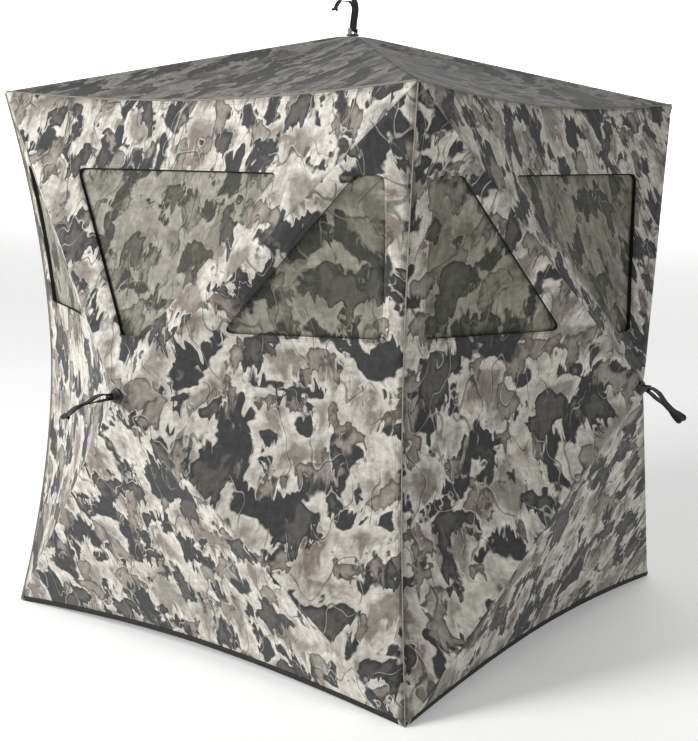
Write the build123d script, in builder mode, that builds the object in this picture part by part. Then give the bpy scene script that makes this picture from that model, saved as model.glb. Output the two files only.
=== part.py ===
from build123d import *
import os
from math import asin, atan2, cos, degrees, hypot, radians, sin

# A four-sided hub-style pop up ground blind, +Z up, millimetres.
# The origin is on the ground under the middle of the roof. The front wall faces -Y, the right
# wall +X, the back wall +Y and the left wall -X. Each wall and the roof is a cloth panel pushed
# out by a hub and four poles, which run to sockets inside the corners.
#
# A point of a wall is given as (along, out, up): along is to the right seen from outside, out is
# the distance from the blind's middle axis, and up is the height above the ground.

# Driving dimensions
half_width = 740.0  # the corners of the footprint and of the eaves
eave_height = 1590.0
roof_rise = 195.0  # from the eave corners to the roof's middle
wall_pop = 270.0  # how far a wall's middle stands outside its corners
corner_bow = 82.0  # how far a corner seam is pulled in at half height, in x and in y
eave_bow_in = 30.0
eave_bow_down = 35.0
hem_bow_in = 10.0
hem_lift = 40.0
cloth = 2.0  # thickness of every cloth panel, with its seam allowances and pockets
seam = 3.5  # clearance of a wall panel from the seam lines that it shares with its neighbours
panel_gap = 0.4  # half the clearance between two facets of one panel

# Windows, as (along, up) points of the right-hand half
centre_window = [(0, 1372), (370, 1372), (40, 945), (0, 945)]
side_window = [(590, 1372), (648, 1372), (612, 966), (256, 970)]
screen_gap = 1.0  # from the cloth's inner face to a window screen
screen_lap = 10.0
cover_lap = 22.0
cover_depth = 6.0  # from the cloth's inner face to a window cover
cover_thickness = 2.0

# Door in the back wall, as (along, up) points of its upper half
door_tip = (118.0, 795.0)
door_top = (600.0, 1313.0)
door_lap = 15.0
door_hinge_along = 620.0
zip_width = 24.0
zip_thickness = 1.6

# Hubs and poles
hub_radius = 48.0
hub_top = -32.0
hub_bottom = -60.0
hub_hole_radius = 24.0  # the hole in the cloth that the cap passes through
neck_radius = 11.0
cap_radius = 20.0
cap_bottom = -6.0
cap_top = -1.0
slot_width = 14.0
slot_start = 20.0
pin_circle = 30.0
pin_depth = 45.0
pin_radius = 2.5
pin_clearance = 0.08
pin_half_length = 14.0
eye_radius = 6.5
eye_width = 12.0
shank_radius = 6.2
shank_length = 34.0
rod_radius = 4.75
tip_radius = 7.0
tip_length = 24.0

# Corner sockets
socket_inset = 30.0  # the sockets' middle, in from the corner along x, y and z
tip_short = 62.0  # from a pole's tip to the sockets' middle, with the blind set up
cup_start = 18.0
cup_end = 80.0
cup_bore = 13.0
cup_wall = 3.0
knuckle_radius = 20.0
foot_radius = 24.0
foot_height = 8.0

# Pull straps
strap_width = 25.0
strap_thickness = 2.2
bar_out = 11.5
bar_radius = 3.0
leg_thickness = 3.5
leg_gap = 27.0
strap_reach = 126.0
strap_droop = 38.0
strap_bar_inner = 3.4
strap_end_inner = 7.0
roof_strap_top = (6.0, 84.0)  # from the roof cap's bar, along x and up
roof_strap_end = (-66.0, 88.0)

# Ground stake tabs
stake_diagonal = 655.0
stake_bore = 6.0
ring_radius = 13.0
ring_height = 4.0
tab_width = 34.0
tab_thickness = 2.0

# Derived places
middle_up = eave_height / 2
hub_out = half_width + wall_pop
roof_up = eave_height + roof_rise
socket_out = half_width - socket_inset
socket_low = socket_inset
socket_high = eave_height - socket_inset

sides = {"front": 0, "right": 90, "back": 180, "left": 270}
windowed_sides = ["front", "right", "left"]
hands = {"right": 1, "left": -1}

os.makedirs("parts", exist_ok=True)


def spot(side, along, out, up):
    """The place of a wall's (along, out, up) point in the blind's frame."""
    turn = radians(sides[side])
    return Vector(along * cos(turn) + out * sin(turn), along * sin(turn) - out * cos(turn), up)


def inward(side):
    """The direction from a wall to the blind's middle."""
    return spot(side, 0, -1, 0)


def out_at(facet, along, up):
    """How far out a facet, given by three (along, out, up) points, is at (along, up)."""
    a, b, c = (Vector(*corner) for corner in facet)
    normal = (b - a).cross(c - a)
    return a.Y - (normal.X * (along - a.X) + normal.Z * (up - a.Z)) / normal.Y


def on_facet(side, facet, outline, hand=1, deeper=0.0):
    """Places an outline of (along, up) points on a facet, or deeper inside it."""
    points = []
    for along, up in outline:
        points.append(spot(side, hand * along, out_at(facet, hand * along, up) - deeper, up))
    return points


def grown_half(lap):
    """The right-hand half of a centre window's outline, larger by lap at its three free sides."""
    top = centre_window[1][1] + lap
    foot = centre_window[2][1] - lap
    return [(0, top), (centre_window[1][0] + 1.6 * lap, top), (centre_window[2][0] + 0.9 * lap, foot), (0, foot)]


def plane_through(points):
    """The plane of a flat outline."""
    first = points[1] - points[0]
    return Plane(origin=points[0], x_dir=first, z_dir=first.cross(points[2] - points[0]))


def flat(plane, points):
    """An outline's points in its own plane."""
    return [plane.to_local_coords(point) for point in points]


# The facets of a wall, by hand: 1 is the right-hand half seen from outside, -1 the left
apex = (0, hub_out, middle_up)
eave_middle = (0, half_width - eave_bow_in, eave_height - eave_bow_down - seam)
hem_middle = (0, half_width - hem_bow_in, hem_lift)
facets = {}
for hand in hands.values():
    corner_top = (hand * (half_width - seam), half_width, eave_height - seam)
    corner_foot = (hand * (half_width - seam), half_width, seam)
    corner_middle = (hand * (half_width - corner_bow - seam), half_width - corner_bow, middle_up)
    facets["top", hand] = [apex, corner_top, eave_middle]
    facets["upper_side", hand] = [apex, corner_middle, corner_top]
    facets["lower_side", hand] = [apex, corner_foot, corner_middle]
    facets["bottom", hand] = [apex, hem_middle, corner_foot]

# The hubs' planes, with their origins at the cloth's middle and their normals outwards
hub_planes = {"roof": Plane(origin=(0, 0, roof_up), x_dir=(0, -1, 0), z_dir=(0, 0, 1))}
for side in sides:
    hub_planes[side] = Plane(
        origin=spot(side, 0, hub_out, middle_up), x_dir=spot(side, 1, 0, 0), z_dir=-inward(side)
    )
wall_bearing = degrees(atan2(middle_up - socket_inset, socket_out))
wall_reach = hypot(middle_up - socket_inset, socket_out)
wall_drop = hub_out - socket_out - pin_depth
roof_reach = hypot(socket_out, socket_out)
roof_drop = roof_up - socket_high - pin_depth


def pole_bearings(hub):
    """The directions of a hub's four poles in its plane, in degrees."""
    bearing = 45.0 if hub == "roof" else wall_bearing
    return [bearing, 180 - bearing, 180 + bearing, -bearing]


# Wall panels. The door side of the back wall is made of strips around the door's opening.
door_foot = (door_top[0], 2 * middle_up - door_top[1])
for side in sides:
    with BuildPart() as wall:
        for (kind, hand), facet in facets.items():
            whole = [spot(side, *corner) for corner in facet]
            outlines = [whole]
            holes = []
            if side == "back" and hand == 1 and kind == "upper_side":
                tip, top, hinge = on_facet(side, facet, [door_tip, door_top, (door_top[0], middle_up)])
                outlines = [[whole[0], tip, top, whole[2]], [hinge, whole[1], whole[2], top]]
            if side == "back" and hand == 1 and kind == "lower_side":
                tip, foot, hinge = on_facet(side, facet, [door_tip, door_foot, (door_top[0], middle_up)])
                outlines = [[whole[0], tip, foot, whole[1]], [hinge, whole[2], whole[1], foot]]
            if side in windowed_sides and kind == "top":
                past_middle = [(-1, centre_window[0][1])] + centre_window[1:3]
                past_middle.append((-1, centre_window[3][1]))
                holes = [on_facet(side, facet, past_middle, hand)]
            if side in windowed_sides and kind == "upper_side":
                holes = [on_facet(side, facet, side_window, hand)]
            for outline in outlines:
                facet_plane = plane_through(outline)
                with BuildSketch(facet_plane):
                    Polygon(*flat(facet_plane, outline), align=None)
                    offset(amount=-panel_gap, kind=Kind.INTERSECTION)
                    for hole in holes:
                        Polygon(*flat(facet_plane, hole), align=None, mode=Mode.SUBTRACT)
                extrude(amount=cloth, dir=inward(side))
        with BuildSketch(hub_planes[side]):
            Circle(hub_hole_radius)
        extrude(amount=hub_hole_radius, both=True, mode=Mode.SUBTRACT)
    wall.part.label = f"{side}_wall"
    export_step(wall.part, f"parts/{side}_wall.step")

# Roof panel
with BuildPart() as roof:
    for side in sides:
        for hand in hands.values():
            outline = [
                Vector(0, 0, roof_up),
                spot(side, hand * (half_width - seam), half_width - seam, eave_height),
                spot(side, 0, half_width - eave_bow_in - seam, eave_height - eave_bow_down),
            ]
            facet_plane = plane_through(outline)
            with BuildSketch(facet_plane):
                Polygon(*flat(facet_plane, outline), align=None)
                offset(amount=-panel_gap, kind=Kind.INTERSECTION)
            extrude(amount=cloth, dir=(0, 0, -1))
    with BuildSketch(hub_planes["roof"]):
        Circle(hub_hole_radius)
    extrude(amount=hub_hole_radius, both=True, mode=Mode.SUBTRACT)
roof.part.label = "roof_panel"
export_step(roof.part, "parts/roof_panel.step")

# Window screens: the see-through mesh panels, lapped behind the window openings
screen_shift = cloth + screen_gap
for side in windowed_sides:
    with BuildPart() as screens:
        for hand in hands.values():
            outline = on_facet(side, facets["upper_side", hand], side_window, hand, screen_shift)
            screen_plane = plane_through(outline)
            with BuildSketch(screen_plane):
                Polygon(*flat(screen_plane, outline), align=None)
                offset(amount=screen_lap, kind=Kind.INTERSECTION)
            extrude(amount=cloth, dir=inward(side))
            outline = on_facet(side, facets["top", hand], grown_half(screen_lap), hand, screen_shift)
            screen_plane = plane_through(outline)
            with BuildSketch(screen_plane):
                Polygon(*flat(screen_plane, outline), align=None)
            extrude(amount=cloth, dir=inward(side))
    screens.part.label = f"{side}_window_screens"
    export_step(screens.part, f"parts/{side}_window_screens.step")

# Window covers: a flat cover behind each side window, and a folded one behind the middle window
cover_shift = cloth + cover_depth
for side in windowed_sides:
    for name, hand in hands.items():
        outline = on_facet(side, facets["upper_side", hand], side_window, hand, cover_shift)
        cover_plane = plane_through(outline)
        with BuildPart() as side_cover:
            with BuildSketch(cover_plane):
                Polygon(*flat(cover_plane, outline), align=None)
                offset(amount=cover_lap, kind=Kind.INTERSECTION)
            extrude(amount=cover_thickness, dir=inward(side))
        side_cover.part.label = f"{side}_{name}_window_cover"
        export_step(side_cover.part, f"parts/{side}_{name}_window_cover.step")

    with BuildPart() as centre_cover:
        for hand in hands.values():
            outline = on_facet(side, facets["top", hand], grown_half(cover_lap), hand, cover_shift)
            cover_plane = plane_through(outline)
            with BuildSketch(cover_plane):
                Polygon(*flat(cover_plane, outline), align=None)
            extrude(amount=cover_thickness, dir=inward(side))
    centre_cover.part.label = f"{side}_centre_window_cover"
    export_step(centre_cover.part, f"parts/{side}_centre_window_cover.step")

# Door: a two-facet flap inside the back wall's opening, hinged beside the corner
along_edge = Vector(door_top[0] - door_tip[0], door_top[1] - door_tip[1]).normalized()
tip_lap = door_lap / along_edge.Y
flap_side = door_hinge_along - 2
flap_rise = (flap_side - door_top[0] + tip_lap) * along_edge.Y / along_edge.X
flap_half = [
    (door_tip[0] - tip_lap, middle_up),
    (flap_side, middle_up),
    (flap_side, door_top[1] + flap_rise),
]
with BuildPart() as door:
    for kind, upside in (("upper_side", 1), ("lower_side", -1)):
        half = [(along, middle_up + upside * (up - middle_up)) for along, up in flap_half]
        outline = on_facet("back", facets[kind, 1], half, 1, cover_shift)
        flap_plane = plane_through(outline)
        with BuildSketch(flap_plane):
            Polygon(*flat(flap_plane, outline), align=None)
        extrude(amount=cover_thickness, dir=inward("back"))
door.part.label = "door_panel"
export_step(door.part, "parts/door_panel.step")

# Door zipper: two runs of coil and tape along the door's slanting edges, outside the cloth
zip_lines = {}
zip_half = [(door_tip[0] + 12, middle_up + 14), door_top]
with BuildPart() as zipper:
    for kind, upside in (("upper_side", 1), ("lower_side", -1)):
        half = [(along, middle_up + upside * (up - middle_up)) for along, up in zip_half]
        facet = facets[kind, 1]
        outward = plane_through([spot("back", *corner) for corner in facet]).z_dir
        start, end = on_facet("back", facet, half)
        zip_lines[upside] = (start + outward * 0.4, end + outward * 0.4, outward)
        run_plane = Plane(origin=zip_lines[upside][0], x_dir=end - start, z_dir=outward)
        with BuildSketch(run_plane):
            with Locations(((end - start).length / 2, 0)):
                Rectangle((end - start).length, zip_width)
        extrude(amount=zip_thickness)
        with BuildSketch(run_plane.offset(zip_thickness)):
            with Locations(((end - start).length / 2, 0)):
                Rectangle((end - start).length, zip_width / 4)
        extrude(amount=zip_thickness)
zipper.part.label = "door_zipper"
export_step(zipper.part, "parts/door_zipper.step")

# Zip sliders, both closed at the door's tip
slider_size = (24.0, 13.0, 4.5)
pull_size = (34.0, 9.0, 1.6)
slider_start = 26.0
slider_lift = 2 * zip_thickness + 0.4
for name, upside in (("upper", 1), ("lower", -1)):
    start, end, outward = zip_lines[upside]
    run = (end - start).normalized()
    slider_plane = Plane(origin=start + run * slider_start + outward * slider_lift, x_dir=run, z_dir=outward)
    with BuildPart() as slider:
        with BuildSketch(slider_plane):
            RectangleRounded(slider_size[0], slider_size[1], 4)
        extrude(amount=slider_size[2])
        with BuildSketch(slider_plane.offset(slider_size[2])):
            RectangleRounded(slider_size[0] * 0.6, slider_size[1] * 0.4, 2)
        extrude(amount=2.0)
        with BuildSketch(slider_plane.offset(slider_size[2] + 2.0)):
            with Locations((pull_size[0] / 2 - 4, 0)):
                RectangleRounded(pull_size[0], pull_size[1], 4)
            with Locations((pull_size[0] - 9, 0)):
                Circle(2.2, mode=Mode.SUBTRACT)
        extrude(amount=pull_size[2])
    slider.part.label = f"{name}_zip_slider"
    export_step(slider.part, f"parts/{name}_zip_slider.step")

# Hubs: a slotted disc inside the cloth, with a neck that the cap is screwed to
corner_names = ["upper_right", "upper_left", "lower_left", "lower_right"]
roof_corner_names = ["front_right", "back_right", "back_left", "front_left"]
for hub_name, hub_plane in hub_planes.items():
    with BuildPart() as hub:
        with BuildSketch(hub_plane.offset(hub_bottom)):
            Circle(hub_radius)
        extrude(amount=hub_top - hub_bottom)
        fillet(hub.edges().filter_by(GeomType.CIRCLE), 3)
        with BuildSketch(hub_plane.offset(hub_top)):
            Circle(neck_radius)
        extrude(amount=cap_bottom - hub_top)
        with BuildSketch(hub_plane.offset(hub_top)):
            for bearing in pole_bearings(hub_name):
                with PolarLocations(slot_start + hub_radius / 2, 1, start_angle=bearing):
                    Rectangle(hub_radius, slot_width)
        extrude(amount=hub_bottom - hub_top, mode=Mode.SUBTRACT)
        for bearing in pole_bearings(hub_name):
            radial = hub_plane.x_dir * cos(radians(bearing)) + hub_plane.y_dir * sin(radians(bearing))
            tangent = hub_plane.z_dir.cross(radial)
            pin_centre = hub_plane.origin + radial * pin_circle - hub_plane.z_dir * pin_depth
            with BuildSketch(Plane(origin=pin_centre, z_dir=tangent)):
                Circle(pin_radius + pin_clearance)
            extrude(amount=pin_half_length + 1, both=True, mode=Mode.SUBTRACT)
    hub.part.label = f"{hub_name}_hub"
    export_step(hub.part, f"parts/{hub_name}_hub.step")

    # The cap outside the cloth carries the bar that the pull strap is looped round
    with BuildPart() as cap:
        with BuildSketch(hub_plane.offset(cap_bottom)):
            Circle(cap_radius)
        extrude(amount=cap_top - cap_bottom)
        fillet(cap.edges().filter_by(GeomType.CIRCLE).sort_by(Axis(hub_plane.origin, hub_plane.z_dir))[-1], 3)
        with BuildSketch(hub_plane.offset(cap_top)):
            with GridLocations(leg_gap + leg_thickness, 0, 2, 1):
                RectangleRounded(leg_thickness, 14, 1)
        extrude(amount=bar_out + bar_radius + 1.5 - cap_top)
        bar_plane = Plane(
            origin=hub_plane.origin + hub_plane.z_dir * bar_out, x_dir=hub_plane.y_dir, z_dir=hub_plane.x_dir
        )
        with BuildSketch(bar_plane):
            Circle(bar_radius)
        extrude(amount=leg_gap / 2 + leg_thickness / 2, both=True)
    cap.part.label = f"{hub_name}_hub_cap"
    export_step(cap.part, f"parts/{hub_name}_hub_cap.step")

# Pull straps: a loop of webbing round each cap's bar. The wall straps droop, the roof strap
# stands up and falls over to one side.
end_outer = strap_end_inner + strap_thickness
bar_outer = strap_bar_inner + strap_thickness
for side in sides:
    hub_plane = hub_planes[side]
    droop = radians(strap_droop)
    reach_dir = hub_plane.z_dir * cos(droop) - hub_plane.y_dir * sin(droop)
    bar_centre = hub_plane.origin + hub_plane.z_dir * bar_out
    with BuildPart() as strap:
        with BuildSketch(Plane(origin=bar_centre, x_dir=reach_dir, z_dir=hub_plane.x_dir)):
            Circle(bar_outer)
            with Locations((strap_reach, 0)):
                Circle(end_outer)
            make_hull()
            with BuildSketch(mode=Mode.SUBTRACT):
                Circle(strap_bar_inner)
                with Locations((strap_reach, 0)):
                    Circle(strap_end_inner)
                make_hull()
        extrude(amount=strap_width / 2, both=True)
    strap.part.label = f"{side}_pull_strap"
    export_step(strap.part, f"parts/{side}_pull_strap.step")

roof_plane = hub_planes["roof"]
with BuildPart() as roof_strap:
    bar_centre = roof_plane.origin + roof_plane.z_dir * bar_out
    with BuildSketch(Plane(origin=bar_centre, x_dir=roof_plane.y_dir, z_dir=roof_plane.x_dir)):
        with BuildSketch():
            Circle(bar_outer)
            with Locations(roof_strap_top):
                Circle(end_outer)
            make_hull()
        with BuildSketch():
            with Locations(roof_strap_top, roof_strap_end):
                Circle(end_outer)
            make_hull()
        with BuildSketch(mode=Mode.SUBTRACT):
            Circle(strap_bar_inner)
            with Locations(roof_strap_top):
                Circle(strap_end_inner)
            make_hull()
        with BuildSketch(mode=Mode.SUBTRACT):
            with Locations(roof_strap_top, roof_strap_end):
                Circle(strap_end_inner)
            make_hull()
    extrude(amount=strap_width / 2, both=True)
roof_strap.part.label = "roof_pull_strap"
export_step(roof_strap.part, "parts/roof_pull_strap.step")

# Poles: an end fitting with its cross pin, the rod and the rubber tip, each its own solid
for hub_name, hub_plane in hub_planes.items():
    reach = roof_reach if hub_name == "roof" else wall_reach
    drop = roof_drop if hub_name == "roof" else wall_drop
    level = reach - pin_circle - tip_short
    length = hypot(level, drop)
    names = roof_corner_names if hub_name == "roof" else corner_names
    for corner_name, bearing in zip(names, pole_bearings(hub_name)):
        radial = hub_plane.x_dir * cos(radians(bearing)) + hub_plane.y_dir * sin(radians(bearing))
        tangent = hub_plane.z_dir.cross(radial)
        pin_centre = hub_plane.origin + radial * pin_circle - hub_plane.z_dir * pin_depth
        run = (radial * level - hub_plane.z_dir * drop).normalized()
        with BuildPart() as pole:
            with BuildSketch(Plane(origin=pin_centre, z_dir=tangent)):
                Circle(eye_radius)
            extrude(amount=eye_width / 2, both=True)
            with BuildSketch(Plane(origin=pin_centre, z_dir=tangent)):
                Circle(pin_radius)
            extrude(amount=pin_half_length, both=True)
            with BuildSketch(Plane(origin=pin_centre, x_dir=tangent, z_dir=run)):
                Circle(shank_radius)
            extrude(amount=shank_length)
            rod_plane = Plane(origin=pin_centre + run * (shank_length + 0.05), x_dir=tangent, z_dir=run)
            with BuildSketch(rod_plane):
                Circle(rod_radius)
            extrude(amount=length - tip_length - shank_length - 0.1)
            tip_plane = Plane(origin=pin_centre + run * (length - tip_length), x_dir=tangent, z_dir=run)
            with BuildSketch(tip_plane):
                Circle(tip_radius)
            extrude(amount=tip_length)
            fillet(
                pole.edges().filter_by(GeomType.CIRCLE).sort_by(Axis(pin_centre, run))[-1],
                tip_radius * 0.9,
            )
        pole.part.label = f"{hub_name}_pole_{corner_name}"
        export_step(pole.part, f"parts/{hub_name}_pole_{corner_name}.step")


def cup_axes(x_hand, y_hand, high):
    """The directions from a corner's socket middle along its poles."""
    up_hand = -1 if high else 1
    level = socket_out / wall_reach
    rise = up_hand * (middle_up - socket_inset) / wall_reach
    axes = [Vector(-x_hand * level, 0, rise), Vector(0, -y_hand * level, rise)]
    if high:
        axes.append(Vector(-x_hand, -y_hand, 0).normalized())
    return axes


# Corner sockets: cups that hold the poles' tips, joined in a knuckle inside each corner
for name, high in (("top", True), ("bottom", False)):
    with BuildPart() as sockets:
        for x_hand in hands.values():
            for y_hand in hands.values():
                centre = Vector(x_hand * socket_out, y_hand * socket_out, socket_high if high else socket_low)
                with BuildSketch(Plane(origin=centre - Vector(0, 0, knuckle_radius))):
                    Circle(knuckle_radius)
                extrude(amount=2 * knuckle_radius)
                for axis in cup_axes(x_hand, y_hand, high):
                    with BuildSketch(Plane(origin=centre, z_dir=axis)):
                        Circle(cup_bore + cup_wall)
                    extrude(amount=cup_end)
                for axis in cup_axes(x_hand, y_hand, high):
                    with BuildSketch(Plane(origin=centre + axis * (cup_start + cup_wall), z_dir=axis)):
                        Circle(cup_bore)
                    extrude(amount=cup_end, mode=Mode.SUBTRACT)
    sockets.part.label = f"{name}_corner_sockets"
    export_step(sockets.part, f"parts/{name}_corner_sockets.step")

# Corner feet: the pads that the blind stands on
with BuildPart() as feet:
    with BuildSketch():
        with GridLocations(2 * socket_out, 2 * socket_out, 2, 2):
            Circle(foot_radius)
    extrude(amount=foot_height)
    chamfer(feet.edges().filter_by(GeomType.CIRCLE).group_by(Axis.Z)[-1], 2)
feet.part.label = "corner_feet"
export_step(feet.part, "parts/corner_feet.step")

# Ground stake tabs: webbing from each foot, with a metal ring that a ground stake goes through
with BuildPart() as tabs:
    for x_hand in hands.values():
        for y_hand in hands.values():
            diagonal = Vector(-x_hand, -y_hand, 0).normalized()
            ring_centre = Vector(x_hand * stake_diagonal, y_hand * stake_diagonal, 0)
            tab_start = socket_out * 2**0.5 - foot_radius - stake_diagonal * 2**0.5
            tab_length = tab_start + ring_radius + 10
            tab_plane = Plane(origin=ring_centre + Vector(0, 0, 1), x_dir=diagonal, z_dir=(0, 0, 1))
            with BuildSketch(tab_plane):
                with Locations(((ring_radius + 10 - tab_start) / 2, 0)):
                    RectangleRounded(tab_length - 0.6, tab_width, 5)
                Circle(ring_radius - 4 + 0.2, mode=Mode.SUBTRACT)
            extrude(amount=tab_thickness)
            with BuildSketch(tab_plane.offset(-1)):
                Circle(ring_radius - 4)
                Circle(stake_bore, mode=Mode.SUBTRACT)
            extrude(amount=ring_height + 2)
            with BuildSketch(tab_plane.offset(tab_thickness + 0.2)):
                Circle(ring_radius)
                Circle(stake_bore, mode=Mode.SUBTRACT)
            extrude(amount=ring_height - tab_thickness)
tabs.part.label = "ground_stake_tabs"
export_step(tabs.part, "parts/ground_stake_tabs.step")

# The lean of the poles with the blind set up: a hub's full travel swings them through twice this
for hub_name, reach, drop in (("wall", wall_reach, wall_drop), ("roof", roof_reach, roof_drop)):
    length = hypot(reach - pin_circle - tip_short, drop)
    print(f"{hub_name} pole: length {length:.1f}, lean {degrees(asin(drop / length)):.3f}, travel {2 * drop:.1f}")
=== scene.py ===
"""The looks of a hub-style pop up ground blind: camouflage cloth stretched over poles, mesh windows,
covers, a zipped door and webbing pull straps, built around its CAD parts. Metres, +Z up."""

import logging
import math
from dataclasses import dataclass, field
from enum import Enum
from typing import Optional, Sequence

import bpy
import numpy as np
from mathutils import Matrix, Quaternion, Vector
from mathutils.geometry import delaunay_2d_cdt


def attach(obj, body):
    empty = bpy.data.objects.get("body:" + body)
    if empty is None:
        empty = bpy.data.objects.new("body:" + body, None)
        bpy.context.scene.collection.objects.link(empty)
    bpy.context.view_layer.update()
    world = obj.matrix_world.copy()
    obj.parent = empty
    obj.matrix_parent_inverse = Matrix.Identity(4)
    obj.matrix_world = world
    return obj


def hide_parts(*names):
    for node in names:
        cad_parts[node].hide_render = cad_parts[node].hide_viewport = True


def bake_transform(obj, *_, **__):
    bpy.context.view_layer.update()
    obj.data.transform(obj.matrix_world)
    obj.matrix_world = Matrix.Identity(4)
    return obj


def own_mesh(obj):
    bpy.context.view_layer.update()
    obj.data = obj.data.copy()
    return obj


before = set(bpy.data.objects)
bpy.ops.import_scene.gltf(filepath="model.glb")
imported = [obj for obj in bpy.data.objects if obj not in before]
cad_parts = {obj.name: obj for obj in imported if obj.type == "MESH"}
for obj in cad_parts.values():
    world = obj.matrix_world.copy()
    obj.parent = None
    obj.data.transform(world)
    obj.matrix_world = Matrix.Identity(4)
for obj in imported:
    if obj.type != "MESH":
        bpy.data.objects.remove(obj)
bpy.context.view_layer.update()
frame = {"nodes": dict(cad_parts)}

log = logging.getLogger("ground_blind")

MM = 0.001
CLOTH = 1.4 * MM
MIDDLE_UP = 0.795  # height of the wall hubs
HUB_OUT = 1.010  # from the middle of the blind to a wall hub's face
ROOF_UP = 1.785  # height of the roof hub's face
WHITE = (1.0, 1.0, 1.0, 1.0)

MATH, VECTOR, MIX, RANGE = "ShaderNodeMath", "ShaderNodeVectorMath", "ShaderNodeMix", "ShaderNodeMapRange"
NOISE, MAPPING = "ShaderNodeTexNoise", "ShaderNodeMapping"
SMOOTH = {"interpolation_type": "SMOOTHSTEP"}
COLOURS = {"data_type": "RGBA", "out": 2}


# Colours and shader nodes


def linear(code: str) -> tuple[float, float, float, float]:
    """Turns an sRGB hex code into a linear colour.

    Args:
        code: Six hex digits, such as "8b887c".

    Returns:
        Red, green, blue and alpha, from 0 to 1.
    """
    parts = [int(code[i : i + 2], 16) / 255 for i in (0, 2, 4)]
    red, green, blue = (c / 12.92 if c <= 0.04045 else ((c + 0.055) / 1.055) ** 2.4 for c in parts)
    return red, green, blue, 1.0


def add(tree, kind: str, inputs: Optional[dict] = None, out: int | str = 0, **settings):
    """Adds a node, sets its properties, and sets or links its inputs.

    Args:
        tree: The node tree.
        kind: The node's type name.
        inputs: Values or sockets by the input's name or number.
        out: Name or number of the output wanted.
        settings: Properties of the node itself.

    Returns:
        That output, or the node if it has none.
    """
    node = tree.nodes.new(kind)
    for name, value in settings.items():
        setattr(node, name, value)
    for key, value in (inputs or {}).items():
        if isinstance(value, bpy.types.NodeSocket):
            tree.links.new(value, node.inputs[key])
        else:
            node.inputs[key].default_value = value
    return node.outputs[out] if len(node.outputs) else node


def new_tree(name: str) -> tuple:
    """An empty material and its node tree."""
    material = bpy.data.materials.new(name)
    material.use_nodes = True
    material.node_tree.nodes.clear()
    return material, material.node_tree


def surfaced(material, inputs: dict):
    """Ends a material's tree in a Principled node with these inputs, and returns the material."""
    shader = add(material.node_tree, "ShaderNodeBsdfPrincipled", inputs)
    add(material.node_tree, "ShaderNodeOutputMaterial", {"Surface": shader})
    return material


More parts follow.
